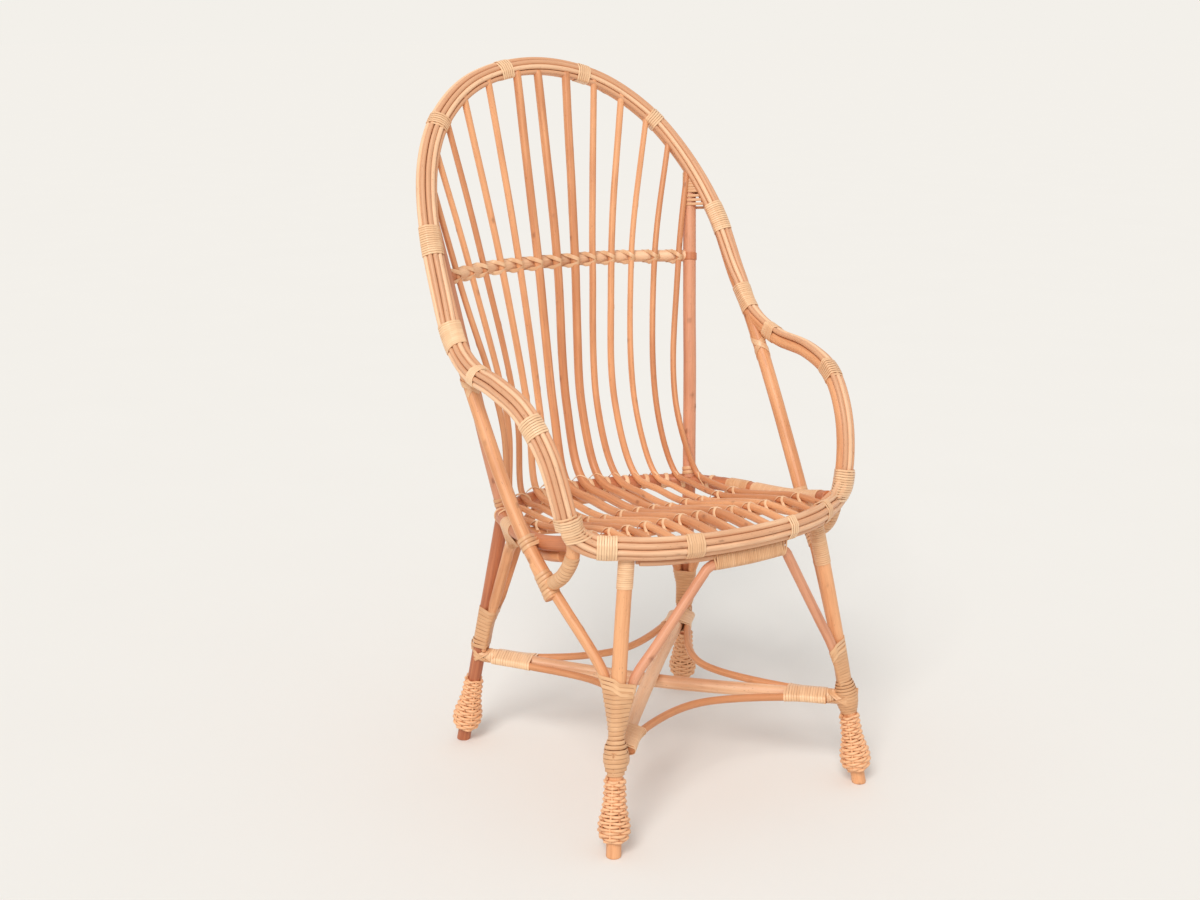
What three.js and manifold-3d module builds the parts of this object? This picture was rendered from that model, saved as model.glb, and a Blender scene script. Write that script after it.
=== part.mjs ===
// Willow armchair with a tall rounded back. Straight and bent sticks are nailed side by side, thin face
// rods run round the rim, woven sleeves cover the feet and split-willow skein is wound over the joints.
// Millimetres, +Z up, the sitter faces -Y. "left" and "right" are the sitter's own.

import * as THREE from 'three';
import { mergeVertices } from 'three/addons/utils/BufferGeometryUtils.js';
import Module from 'manifold-3d';

const wasm = await Module();
wasm.setup();

// Fit between pieces that touch
const CLEARANCE = 0.3;
const WELD = 1e-4;

// Stick diameters
const LEG_DIAMETER = 22;
const HOOP_DIAMETER = 22;
const POST_DIAMETER = 22;
const ARM_CORE_DIAMETER = 20;
const FACE_ROD_DIAMETER = 7.4;
const SEAT_RAIL_DIAMETER = 23;
const FRONT_RAIL_DIAMETER = 23;
const RIM_ROD_DIAMETER = 9;
const UNDER_ROD_DIAMETER = 9;
const CROSS_BAR_DIAMETER = 18;
const BRACE_DIAMETER = 18;
const FRONT_BRACE_DIAMETER = 14;
const STRETCHER_DIAMETER = 20;
const BOW_DIAMETER = 12;
const CENTRE_SPINDLE_DIAMETER = 14.5;
const SIDE_SPINDLE_DIAMETER = 11.5;
const OUTER_SPINDLE_DIAMETER = 10;

// Feet
const FRONT_FOOT_X = 230;
const FRONT_FOOT_Y = -240;
const REAR_FOOT_X = 223;
const REAR_FOOT_Y = 240;
const FRONT_LEG_DROP = 10;
const FRONT_LEG_SET_BACK = 4;
const REAR_LEG_DROP = 3;

// Woven sleeves
const SLEEVE_LOW_Z = 22;
const SLEEVE_HIGH_Z = 116;
const SLEEVE_NECK_DIAMETER = 31;
const SLEEVE_BELLY_DIAMETER = 48;
const SLEEVE_HEM_DIAMETER = 33;
const SLEEVE_BELLY_Z = 42;

// Seat outline
const SEAT_FRONT_Y = -225;
const SEAT_FRONT_Z = 443;
const SEAT_QUARTER_X = 140;
const SEAT_QUARTER_Y = -205;
const SEAT_CORNER_X = 240;
const SEAT_CORNER_Y = -148;
const SEAT_CORNER_Z = 438;
const SEAT_SIDE_X = 233;
const SEAT_SIDE_Y = -45;
const SEAT_SIDE_Z = 422;
const SEAT_HIP_X = 211;
const SEAT_HIP_Y = 100;
const SEAT_HIP_Z = 411;
const SEAT_REAR_Y = 231;
const SEAT_REAR_Z = 406;
const SEAT_REAR_BEND_X = 166;
const SEAT_REAR_BEND_Y = 182;
const FRONT_LEG_SEAT_X = 175;
const POST_SEAT_X = 181;

// Back hoop, apex to shoulder to hip
const HOOP_TOP_Y = 373;
const HOOP_TOP_Z = 1091;
const HOOP_CROWN_X = 113;
const HOOP_CROWN_Y = 365;
const HOOP_CROWN_Z = 1069;
const HOOP_SHOULDER_X = 189;
const HOOP_SHOULDER_Y = 335;
const HOOP_SHOULDER_Z = 1018;
const HOOP_BEND_X = 237;
const HOOP_BEND_Y = 294;
const HOOP_BEND_Z = 951;
const HOOP_WIDE_X = 269;
const HOOP_WIDE_Y = 232;
const HOOP_WIDE_Z = 853;
const HOOP_WAIST_X = 275;
const HOOP_WAIST_Y = 174;
const HOOP_WAIST_Z = 750;
const KINK_X = 275;
const KINK_Y = 129;
const KINK_Z = 690;

// Arms
const ARM_HEEL_X = 280;
const ARM_HEEL_Y = 66;
const ARM_HEEL_Z = 660;
const ARM_TOP_X = 282;
const ARM_TOP_Y = -12;
const ARM_TOP_Z = 649;
const ARM_BEND_X = 276;
const ARM_BEND_Y = -77;
const ARM_BEND_Z = 625;
const ARM_NOSE_X = 265;
const ARM_NOSE_Y = -122;
const ARM_NOSE_Z = 573;
const ARM_SHANK_X = 254;
const ARM_SHANK_Y = -144;
const ARM_SHANK_Z = 505;
const ARM_TAIL_Y = -126;
const ARM_TAIL_Z = 396;
const ARM_TAIL_HOOP_Z = 368;

// Face rods fanned round the hoop and the arms
const FACE_ROD_COUNT = 5;
const FACE_ROD_GAP = 0.6;
const ARCH_FAN_Y = 700;
const ARCH_FAN_SPREAD = 0.15;
const ARCH_FAN_Z = 780;
const ARM_FAN_X = 100;
const ARM_FAN_Y = 30;
const ARM_FAN_Z = 450;

// Front rim
const RIM_ROD_COUNT = 4;
const RIM_ROD_GAP = 0.6;
const RIM_ROD_END_GAP = 24;
const UNDER_ROD_RIGHT_X = -160;
const UNDER_ROD_LEFT_X = 84;

// Back
const POST_SPINDLE_GAP = 17.5;
const RIGHT_POST_SHIFT = 24;
const CROSS_BAR_Z = 779;
const CROSS_BAR_Y = 314;
const CROSS_BAR_BEND_X = 120;
const CROSS_BAR_BEND_Y = 302;

// Seat slats
const SLAT_WIDTH = 28;
const SLAT_THICKNESS = 7;
const MIDDLE_SLAT_Y = 45;
const MIDDLE_SLAT_SAG = 16;
const FRONT_SLAT_Y = -118;
const FRONT_SLAT_SAG = 5;

// Spindles
const SPINDLES_PER_SIDE = 6;
const SPINDLE_HOOP_PITCH = 54;
const SPINDLE_RIGHT_SHIFT = 20;
const SPINDLE_BAR_PITCH = 35;
const SPINDLE_RAIL_PITCH = 33;
const SPINDLE_RAIL_RISE = 2;
const SPINDLE_MIDDLE_PITCH = 31;
const SPINDLE_FRONT_PITCH = 32.5;
const SPINDLE_BEND_Z = 540;
const SPINDLE_BEND_BULGE = 23;
const SPINDLE_BEND_TURN = THREE.MathUtils.degToRad(80);
const SPINDLE_DIP_Y = 132;
const SPINDLE_DIP_RISE = 1;

// Joints low on the legs, and the braces that run into them
const FRONT_JOINT_Z = 192;
const REAR_JOINT_Z = 204;
const JOINT_FLARE_Z = 40;
const JOINT_FLARE = 7;
const HOOP_JOINT_TURN = THREE.MathUtils.degToRad(30);
const FRONT_BRACE_TURN = THREE.MathUtils.degToRad(28);
const FRONT_BRACE_HALF_TOP = 65;
const FRONT_BRACE_SHIFT = 18;
const REAR_BRACE_HALF_TOP = 112;
const BRACE_BEND = 26;
const SIDE_BRACE_INSET = 9;
const SIDE_BRACE_REAR_Y = 92;
const SIDE_BRACE_FRONT_Y = -88;

// Stretchers and bows
const STRETCHER_FRONT_Z = 140;
const STRETCHER_REAR_Z = 157;
const BOW_LEG_GAP = 30;
const BOW_STRAIGHT = 88;
const BOW_SPREAD = 3;
const FRONT_BOW_Y = -122;
const REAR_BOW_Y = 108;
const SIDE_BOW_X = 92;

// Skein windings
const SKEIN_WIDTH = 8;
const SKEIN_THICKNESS = 1;
const SKEIN_GAP = 0.9;
const SKEIN_STEPS = 8;
const JOINT_WRAP_TOP = 44;
const JOINT_WRAP_LOW = 14;
const JOINT_TAPER = 26;
const BUNDLE_REACH = 80;
const APRON_WRAP_HALF_LENGTH = 60;
const STRETCHER_WRAP_START = 42;
const STRETCHER_WRAP_LENGTH = 60;

// Facets
const THICK_SIDES = 8;
const THIN_SIDES = 6;
const LEG_SIDES = 12;
const SLEEVE_SIDES = 12;
const SPAN_STEPS = 2;
const LONG_SPAN_STEPS = 3;
const FRONT_RAIL_STEPS = 4;
const SLEEVE_RINGS = 6;
const SLAT_STEPS = 8;
const CHANGE_SEARCH_STEPS = 12;

const SIDES = [['right', -1], ['left', 1]];
const UP = new THREE.Vector3(0, 0, 1);

const colours = {
  stick: 0xc98a52,
  warmStick: 0xb5693f,
  pinkStick: 0xb07350,
  spindle: 0xd0905a,
  faceRod: 0xd9a06a,
  weave: 0xb8733f,
  skein: 0xe6b980,
};

function at(x, y, z) {
  return new THREE.Vector3(x, y, z);
}

function flip(point, side) {
  return at(point.x * side, point.y, point.z);
}

// A path through fixed stations, so that neighbouring sticks share their stations
class Stations extends THREE.Curve {
  constructor(points) {
    super();
    this.points = points;
  }

  getPoint(t) {
    const place = Math.min(Math.max(t, 0), 1) * (this.points.length - 1);
    const before = Math.min(Math.floor(place), this.points.length - 2);
    return this.points[before].clone().lerp(this.points[before + 1], place - before);
  }

  getPointAt(u) {
    return this.getPoint(u);
  }

  getTangentAt(u) {
    return this.getTangent(u);
  }
}

function bend(points, spanSteps = SPAN_STEPS) {
  const smooth = new THREE.CatmullRomCurve3(points, false, 'centripetal');
  return new Stations(smooth.getPoints((points.length - 1) * spanSteps));
}

function mirrored(halfFromCentre) {
  const far = halfFromCentre.slice(1).map((point) => flip(point, -1)).reverse();
  return [...far, ...halfFromCentre];
}

// The place on a path where one coordinate has a given value, searched from the path's far end
function crossing(path, axis, value) {
  const points = path.points;
  for (let i = points.length - 1; i > 0; i -= 1) {
    const a = points[i][axis] - value;
    const b = points[i - 1][axis] - value;
    if (a * b <= 0 && a !== b) {
      return points[i].clone().lerp(points[i - 1], a / (a - b));
    }
  }
  throw new Error(`no station with ${axis} = ${value}`);
}

// The stations of a path that lie within a half width, with its ends cut exactly there
function within(path, low, high) {
  const inner = path.points.filter((point) => point.x > low && point.x < high);
  return [crossing(path, 'x', low), ...inner, crossing(path, 'x', high)];
}

// The level direction square to a path where it has a given x, on the side of the given heading
function squareTo(path, x, heading) {
  const along = crossing(path, 'x', x + 1).sub(crossing(path, 'x', x - 1));
  const square = at(-along.y, along.x, 0).normalize();
  return square.dot(heading) < 0 ? square.negate() : square;
}

function placeAlong(points, distance) {
  let left = distance;
  for (let i = 1; i < points.length; i += 1) {
    const step = points[i].distanceTo(points[i - 1]);
    if (left <= step) return points[i - 1].clone().lerp(points[i], left / step);
    left -= step;
  }
  return points[points.length - 1].clone();
}

function circle(radius, count) {
  const shape = new THREE.Shape();
  for (let i = 0; i < count; i += 1) {
    const angle = (2 * Math.PI * i) / count;
    const x = radius * Math.cos(angle);
    const y = radius * Math.sin(angle);
    if (i === 0) shape.moveTo(x, y);
    else shape.lineTo(x, y);
  }
  shape.closePath();
  return shape;
}

// A stick is a path, a diameter and a count of sides
function stick(path, diameter, sides = THICK_SIDES) {
  return { path, diameter, sides };
}

function body(piece, grown = 0) {
  return new THREE.ExtrudeGeometry(circle(piece.diameter / 2 + grown, piece.sides), {
    steps: piece.path.points.length - 1,
    bevelEnabled: false,
    extrudePath: piece.path,
  });
}

function solid(geometry) {
  const bare = geometry.clone();
  bare.deleteAttribute('normal');
  bare.deleteAttribute('uv');
  const welded = mergeVertices(bare, WELD);
  return new wasm.Manifold(new wasm.Mesh({
    numProp: 3,
    vertProperties: Float32Array.from(welded.attributes.position.array),
    triVerts: Uint32Array.from(welded.index.array),
  }));
}

function geometryOf(manifold) {
  const mesh = manifold.getMesh();
  const geometry = new THREE.BufferGeometry();
  geometry.setAttribute('position', new THREE.BufferAttribute(mesh.vertProperties, 3));
  geometry.setIndex(new THREE.BufferAttribute(mesh.triVerts, 1));
  geometry.computeVertexNormals();
  return geometry;
}

// A piece with its ends and flanks let into what it is nailed to
function trimmed(geometry, tools) {
  let whole = solid(geometry);
  for (const tool of tools) {
    whole = whole.subtract(solid(tool));
  }
  return geometryOf(whole);
}

function fitted(piece, neighbours) {
  return trimmed(body(piece), neighbours.map((neighbour) => body(neighbour, CLEARANCE)));
}

const chair = new THREE.Group();

function add(name, geometry, colour, roughness = 0.5) {
  const material = new THREE.MeshStandardMaterial({ color: colour, roughness, metalness: 0 });
  const mesh = new THREE.Mesh(geometry, material);
  mesh.name = name;
  chair.add(mesh);
}

// Seat frame: a bent rail round the sides and rear, and a bowed front rail
const frontRail = stick(bend(mirrored([
  at(0, SEAT_FRONT_Y, SEAT_FRONT_Z),
  at(SEAT_QUARTER_X, SEAT_QUARTER_Y, SEAT_FRONT_Z),
  at(SEAT_CORNER_X, SEAT_CORNER_Y, SEAT_CORNER_Z),
]), FRONT_RAIL_STEPS), FRONT_RAIL_DIAMETER);

const railEnd = crossing(frontRail.path, 'x', SEAT_SIDE_X - SEAT_RAIL_DIAMETER / 2);
railEnd.y += FRONT_RAIL_DIAMETER / 3;
const seatRail = stick(bend(mirrored([
  at(0, SEAT_REAR_Y, SEAT_REAR_Z),
  at(SEAT_REAR_BEND_X, SEAT_REAR_BEND_Y, SEAT_REAR_Z),
  at(SEAT_HIP_X, SEAT_HIP_Y, SEAT_HIP_Z),
  at(SEAT_SIDE_X, SEAT_SIDE_Y, SEAT_SIDE_Z),
  railEnd,
]), LONG_SPAN_STEPS), SEAT_RAIL_DIAMETER);

// Rods laid side by side over a core stand at equal angles round it
function fanRadius(coreDiameter, rodDiameter) {
  return (coreDiameter + rodDiameter) / 2;
}

function fanAngle(radius, rodDiameter, gap) {
  return 2 * Math.asin((rodDiameter + gap) / 2 / radius);
}

// Legs lean, and stand on flat horizontal ends
function leanLeg(foot, top) {
  return { path: new Stations([foot, top]), diameter: LEG_DIAMETER, sides: LEG_SIDES };
}

function legAxis(leg, z) {
  const [foot, top] = leg.path.points;
  return foot.clone().lerp(top, (z - foot.z) / (top.z - foot.z));
}

function lean(geometry, leg) {
  const [foot, top] = leg.path.points;
  const rise = top.z - foot.z;
  const shear = new THREE.Matrix4().set(
    1, 0, (top.x - foot.x) / rise, foot.x,
    0, 1, (top.y - foot.y) / rise, foot.y,
    0, 0, 1, 0,
    0, 0, 0, 1,
  );
  return geometry.applyMatrix4(shear);
}

function legBody(leg, grown = 0) {
  const height = leg.path.points[1].z;
  const radius = leg.diameter / 2 + grown;
  const upright = new THREE.CylinderGeometry(radius, radius, height, leg.sides);
  upright.rotateX(Math.PI / 2);
  upright.translate(0, 0, height / 2);
  return lean(upright, leg);
}

// Front legs stand far enough behind the front rail to clear the rods on its face
const rimRadius = fanRadius(FRONT_RAIL_DIAMETER, RIM_ROD_DIAMETER);
const rimAngle = fanAngle(rimRadius, RIM_ROD_DIAMETER, RIM_ROD_GAP);
const lowestRodTurn = ((RIM_ROD_COUNT - 1) / 2) * rimAngle;
const lowestRodReach = rimRadius * Math.cos(lowestRodTurn);
const rodRoom = (LEG_DIAMETER + RIM_ROD_DIAMETER) / 2 + CLEARANCE - lowestRodReach;
const legSetBack = rodRoom + FRONT_LEG_SET_BACK;

const legs = {};
for (const [name, side] of SIDES) {
  const frontTop = crossing(frontRail.path, 'x', FRONT_LEG_SEAT_X);
  frontTop.addScaledVector(squareTo(frontRail.path, FRONT_LEG_SEAT_X, at(0, 1, 0)), legSetBack);
  frontTop.z -= FRONT_LEG_DROP;
  const rearTop = crossing(seatRail.path, 'x', POST_SEAT_X);
  rearTop.z -= REAR_LEG_DROP;
  legs[`front_${name}`] = leanLeg(at(FRONT_FOOT_X * side, FRONT_FOOT_Y, 0), flip(frontTop, side));
  legs[`rear_${name}`] = leanLeg(at(REAR_FOOT_X * side, REAR_FOOT_Y, 0), flip(rearTop, side));
}

function sleeve(leg) {
  const bore = leg.diameter / 2 + CLEARANCE;
  const flare = new THREE.SplineCurve([
    new THREE.Vector2(SLEEVE_HEM_DIAMETER / 2, SLEEVE_LOW_Z),
    new THREE.Vector2(SLEEVE_BELLY_DIAMETER / 2, SLEEVE_BELLY_Z),
    new THREE.Vector2(SLEEVE_NECK_DIAMETER / 2, SLEEVE_HIGH_Z),
  ]);
  const outline = [
    new THREE.Vector2(bore, SLEEVE_LOW_Z),
    ...flare.getPoints(SLEEVE_RINGS),
    new THREE.Vector2(bore, SLEEVE_HIGH_Z),
    new THREE.Vector2(bore, SLEEVE_LOW_Z),
  ];
  const upright = new THREE.LatheGeometry(outline, SLEEVE_SIDES);
  upright.rotateX(Math.PI / 2);
  return lean(upright, leg);
}

for (const [name, leg] of Object.entries(legs)) {
  const rail = name.startsWith('front') ? frontRail : seatRail;
  add(`${name}_leg`, trimmed(legBody(leg), [body(rail, CLEARANCE)]), colours.stick);
  add(`${name}_foot_sleeve`, sleeve(leg), colours.weave, 0.7);
}

// Back hoop: up one side from the front leg, over the arch and down the other side
const archHalf = [
  at(0, HOOP_TOP_Y, HOOP_TOP_Z),
  at(HOOP_CROWN_X, HOOP_CROWN_Y, HOOP_CROWN_Z),
  at(HOOP_SHOULDER_X, HOOP_SHOULDER_Y, HOOP_SHOULDER_Z),
  at(HOOP_BEND_X, HOOP_BEND_Y, HOOP_BEND_Z),
  at(HOOP_WIDE_X, HOOP_WIDE_Y, HOOP_WIDE_Z),
  at(HOOP_WAIST_X, HOOP_WAIST_Y, HOOP_WAIST_Z),
  at(KINK_X, KINK_Y, KINK_Z),
];

// A stick that runs down into a joint lies against the leg, flaring away above it
function intoJoint(leg, z, diameter, direction) {
  const reach = LEG_DIAMETER / 2 + diameter / 2 + CLEARANCE;
  const flareZ = z + JOINT_FLARE_Z;
  return [
    legAxis(leg, flareZ).addScaledVector(direction, reach + JOINT_FLARE),
    legAxis(leg, z).addScaledVector(direction, reach),
  ];
}

const railGap = HOOP_DIAMETER / 2 + SEAT_RAIL_DIAMETER / 2 + CLEARANCE;
const outBehind = at(Math.sin(HOOP_JOINT_TURN), Math.cos(HOOP_JOINT_TURN), 0);
const hoopHalf = [
  ...archHalf,
  at(SEAT_SIDE_X + railGap, SEAT_SIDE_Y, SEAT_SIDE_Z),
  ...intoJoint(legs.front_left, FRONT_JOINT_Z, HOOP_DIAMETER, outBehind),
];
const hoop = stick(bend(mirrored(hoopHalf)), HOOP_DIAMETER);
const archFromTop = hoop.path.points.slice((hoop.path.points.length - 1) / 2);
add('back_hoop', body(hoop), colours.stick);

// Arms: a core stick under the face rods, carried on below the seat to the hoop
const armHalf = [
  ...archHalf,
  at(ARM_HEEL_X, ARM_HEEL_Y, ARM_HEEL_Z),
  at(ARM_TOP_X, ARM_TOP_Y, ARM_TOP_Z),
  at(ARM_BEND_X, ARM_BEND_Y, ARM_BEND_Z),
  at(ARM_NOSE_X, ARM_NOSE_Y, ARM_NOSE_Z),
  at(ARM_SHANK_X, ARM_SHANK_Y, ARM_SHANK_Z),
  at(SEAT_CORNER_X, SEAT_CORNER_Y, SEAT_CORNER_Z),
];
const rimPath = bend(mirrored(armHalf));

function armCore(side) {
  const tail = crossing(hoop.path, 'z', ARM_TAIL_HOOP_Z);
  const points = [
    ...armHalf.slice(archHalf.length - 1),
    at((SEAT_CORNER_X + tail.x) / 2, ARM_TAIL_Y, ARM_TAIL_Z),
    tail,
  ];
  return stick(bend(points.map((point) => flip(point, side))), ARM_CORE_DIAMETER);
}

const armCores = {};
for (const [name, side] of SIDES) {
  armCores[name] = armCore(side);
  add(`${name}_arm_core`, fitted(armCores[name], [hoop]), colours.stick);
}
const cores = [armCores.right, armCores.left];
add('seat_rail', fitted(seatRail, [frontRail, hoop, ...cores]), colours.warmStick);

function fanned(points, middleAt, radius, angle) {
  const path = new Stations(points);
  return new Stations(points.map((point, i) => {
    const tangent = path.getTangent(i / (points.length - 1));
    const middle = middleAt(point);
    middle.addScaledVector(tangent, -middle.dot(tangent)).normalize();
    const across = tangent.clone().cross(middle);
    return point.clone()
      .addScaledVector(middle, radius * Math.cos(angle))
      .addScaledVector(across, radius * Math.sin(angle));
  }));
}

// Over the arch the fan looks out from behind the back, along the arms from inside the seat
function faceMiddle(point) {
  const side = Math.sign(point.x);
  const arch = at(point.x * ARCH_FAN_SPREAD, point.y - ARCH_FAN_Y, point.z - ARCH_FAN_Z).normalize();
  const arm = point.clone().sub(at(ARM_FAN_X * side, ARM_FAN_Y, ARM_FAN_Z)).normalize();
  const share = THREE.MathUtils.smoothstep(point.y, ARM_HEEL_Y, HOOP_WIDE_Y);
  return arm.lerp(arch, share);
}

const faceRadius = fanRadius(HOOP_DIAMETER, FACE_ROD_DIAMETER);
const faceAngle = fanAngle(faceRadius, FACE_ROD_DIAMETER, FACE_ROD_GAP);
const faceRods = [];
for (let k = 0; k < FACE_ROD_COUNT; k += 1) {
  const turn = (k - (FACE_ROD_COUNT - 1) / 2) * faceAngle;
  const path = fanned(rimPath.points, faceMiddle, faceRadius, turn);
  faceRods.push(stick(path, FACE_ROD_DIAMETER, THIN_SIDES));
  add(`face_rod_${k + 1}`, fitted(faceRods[k], [hoop, ...cores]), colours.faceRod);
}
add('front_rail', fitted(frontRail, [...cores, ...faceRods]), colours.stick);

// Front rim: face rods on the front rail, and one short rod under it
const legRooms = Object.values(legs).map((leg) => legBody(leg, CLEARANCE));
const rimHalfLength = SEAT_CORNER_X - RIM_ROD_END_GAP;
const rimPoints = within(frontRail.path, -rimHalfLength, rimHalfLength);
for (let k = 0; k < RIM_ROD_COUNT; k += 1) {
  const turn = (k - (RIM_ROD_COUNT - 1) / 2) * rimAngle;
  const path = fanned(rimPoints, () => at(0, -1, 0), rimRadius, turn);
  const rod = body(stick(path, RIM_ROD_DIAMETER, THIN_SIDES));
  add(`rim_rod_${k + 1}`, trimmed(rod, legRooms), colours.faceRod);
}

const skeinRoom = (UNDER_ROD_DIAMETER / 2 + CLEARANCE) / Math.cos(Math.PI / SKEIN_STEPS) + SKEIN_THICKNESS;
const lowestRodDrop = rimRadius * Math.sin(lowestRodTurn) + RIM_ROD_DIAMETER / 2;
const underRodDrop = lowestRodDrop + CLEARANCE + skeinRoom;
const underRodPoints = within(frontRail.path, UNDER_ROD_RIGHT_X, UNDER_ROD_LEFT_X);
const underRod = stick(new Stations(underRodPoints.map((point) => (
  at(point.x, point.y, point.z - underRodDrop)
))), UNDER_ROD_DIAMETER, THIN_SIDES);
add('under_rim_rod', body(underRod), colours.warmStick);

// Back posts, each just outside the outermost spindle, and the cross bar between them
const postReach = SPINDLES_PER_SIDE * SPINDLE_HOOP_PITCH + POST_SPINDLE_GAP;
const posts = {};
for (const [name, side] of SIDES) {
  const low = crossing(seatRail.path, 'x', POST_SEAT_X).addScaledVector(UP, SEAT_RAIL_DIAMETER / 4);
  const high = placeAlong(archFromTop, side < 0 ? postReach + RIGHT_POST_SHIFT : postReach);
  posts[name] = stick(new Stations([flip(low, side), flip(high, side)]), POST_DIAMETER);
  add(`${name}_back_post`, fitted(posts[name], [seatRail, hoop, ...faceRods]), colours.pinkStick);
}

const crossBar = stick(bend([
  crossing(posts.right.path, 'z', CROSS_BAR_Z),
  at(-CROSS_BAR_BEND_X, CROSS_BAR_BEND_Y, CROSS_BAR_Z),
  at(0, CROSS_BAR_Y, CROSS_BAR_Z),
  at(CROSS_BAR_BEND_X, CROSS_BAR_BEND_Y, CROSS_BAR_Z),
  crossing(posts.left.path, 'z', CROSS_BAR_Z),
], LONG_SPAN_STEPS), CROSS_BAR_DIAMETER);
add('back_cross_bar', fitted(crossBar, [posts.right, posts.left]), colours.stick);

// Seat slats: bent laths let in between the side rails
function slatTop(end, sag, x) {
  const share = x / end.x;
  return end.z + SLAT_THICKNESS / 2 - sag * (1 - share * share);
}

function slat(end, sag) {
  const outline = new THREE.Shape();
  outline.moveTo(-end.x, -SLAT_THICKNESS / 2);
  outline.quadraticCurveTo(0, -SLAT_THICKNESS / 2 - 2 * sag, end.x, -SLAT_THICKNESS / 2);
  outline.lineTo(end.x, SLAT_THICKNESS / 2);
  outline.quadraticCurveTo(0, SLAT_THICKNESS / 2 - 2 * sag, -end.x, SLAT_THICKNESS / 2);
  outline.closePath();
  const geometry = new THREE.ExtrudeGeometry(outline, {
    depth: SLAT_WIDTH,
    bevelEnabled: false,
    curveSegments: SLAT_STEPS,
  });
  geometry.rotateX(Math.PI / 2);
  geometry.translate(0, end.y + SLAT_WIDTH / 2, end.z);
  return geometry;
}

const middleSlatEnd = crossing(seatRail.path, 'y', MIDDLE_SLAT_Y);
const frontSlatEnd = crossing(seatRail.path, 'y', FRONT_SLAT_Y);
const slats = {
  middle: slat(middleSlatEnd, MIDDLE_SLAT_SAG),
  front: slat(frontSlatEnd, FRONT_SLAT_SAG),
};
for (const [name, geometry] of Object.entries(slats)) {
  add(`${name}_seat_slat`, trimmed(geometry, [body(seatRail, CLEARANCE)]), colours.stick);
}

// Spindles: from the front rail over the slats, up inside the rear rail, before the cross bar to the hoop
function spindleDiameter(place) {
  if (place <= 1) return CENTRE_SPINDLE_DIAMETER;
  return place <= 3 ? SIDE_SPINDLE_DIAMETER : OUTER_SPINDLE_DIAMETER;
}

function spindle(order) {
  const place = Math.abs(order);
  const side = Math.sign(order) || 1;
  const diameter = spindleDiameter(place);
  const gap = diameter / 2 + CLEARANCE;

  const front = crossing(frontRail.path, 'x', place * SPINDLE_FRONT_PITCH);
  const overFront = at(place * (SPINDLE_FRONT_PITCH + SPINDLE_MIDDLE_PITCH) / 2, FRONT_SLAT_Y, 0);
  overFront.z = slatTop(frontSlatEnd, FRONT_SLAT_SAG, overFront.x) + gap;
  const overMiddle = at(place * SPINDLE_MIDDLE_PITCH, MIDDLE_SLAT_Y, 0);
  overMiddle.z = slatTop(middleSlatEnd, MIDDLE_SLAT_SAG, overMiddle.x) + gap;

  const railPlace = place * SPINDLE_RAIL_PITCH;
  const inward = squareTo(seatRail.path, railPlace, at(0, -1, 0))
    .addScaledVector(UP, SPINDLE_RAIL_RISE)
    .normalize();
  const atRail = crossing(seatRail.path, 'x', railPlace);
  atRail.addScaledVector(inward, SEAT_RAIL_DIAMETER / 2 + gap);
  const dipShare = (SPINDLE_DIP_Y - MIDDLE_SLAT_Y) / (atRail.y - MIDDLE_SLAT_Y);
  const dip = overMiddle.clone().lerp(atRail, dipShare);
  dip.z = overMiddle.z + SPINDLE_DIP_RISE;

  const beforeBar = crossing(crossBar.path, 'x', place * SPINDLE_BAR_PITCH);
  beforeBar.y -= CROSS_BAR_DIAMETER / 2 + gap;
  const bendShare = (SPINDLE_BEND_Z - atRail.z) / (beforeBar.z - atRail.z);
  const lowBack = atRail.clone().lerp(beforeBar, bendShare);
  const turn = (place / SPINDLES_PER_SIDE) * SPINDLE_BEND_TURN;
  lowBack.x -= SPINDLE_BEND_BULGE * Math.sin(turn);
  lowBack.y += SPINDLE_BEND_BULGE * Math.cos(turn);
  const shift = side < 0 ? SPINDLE_RIGHT_SHIFT * (1 - place / SPINDLES_PER_SIDE) : 0;
  const top = placeAlong(archFromTop, place * SPINDLE_HOOP_PITCH - shift);

  const points = [front, overFront, overMiddle, dip, atRail, lowBack, beforeBar, top];
  return stick(bend(points.map((point) => flip(point, side))), diameter, THIN_SIDES);
}

const spindleStops = [frontRail, seatRail, hoop, crossBar, posts.right, posts.left]
  .map((piece) => body(piece, CLEARANCE));
const slatNotches = Object.values(slats).map((geometry) => geometry.clone().translate(0, 0, CLEARANCE));
for (let order = -SPINDLES_PER_SIDE; order <= SPINDLES_PER_SIDE; order += 1) {
  const number = String(order + SPINDLES_PER_SIDE + 1).padStart(2, '0');
  const bent = body(spindle(order));
  add(`spindle_${number}`, trimmed(bent, [...spindleStops, ...slatNotches]), colours.spindle);
}

// Braces: bent sticks from the leg joints up to the seat frame
function trapezoid(joint, cornerX, rail, drop, shift) {
  const under = (x) => crossing(rail.path, 'x', shift + x).addScaledVector(UP, -drop);
  const half = (side) => {
    const [flare, foot] = joint.map((point) => flip(point, side));
    const corner = under(cornerX * side);
    const down = flare.clone().sub(corner).normalize();
    return [
      under((cornerX - BRACE_BEND) * side),
      corner.clone().addScaledVector(down, BRACE_BEND),
      flare,
      foot,
    ];
  };
  return [...half(-1).reverse(), under(0), ...half(1)];
}

const inFront = at(-Math.cos(FRONT_BRACE_TURN), -Math.sin(FRONT_BRACE_TURN), 0);
const frontBraceDrop = underRodDrop + (UNDER_ROD_DIAMETER + FRONT_BRACE_DIAMETER) / 2 + CLEARANCE;
const frontBrace = stick(bend(trapezoid(
  intoJoint(legs.front_left, FRONT_JOINT_Z, FRONT_BRACE_DIAMETER, inFront),
  FRONT_BRACE_HALF_TOP,
  frontRail,
  frontBraceDrop,
  FRONT_BRACE_SHIFT,
)), FRONT_BRACE_DIAMETER);
add('front_brace', fitted(frontBrace, [underRod]), colours.stick);

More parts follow.
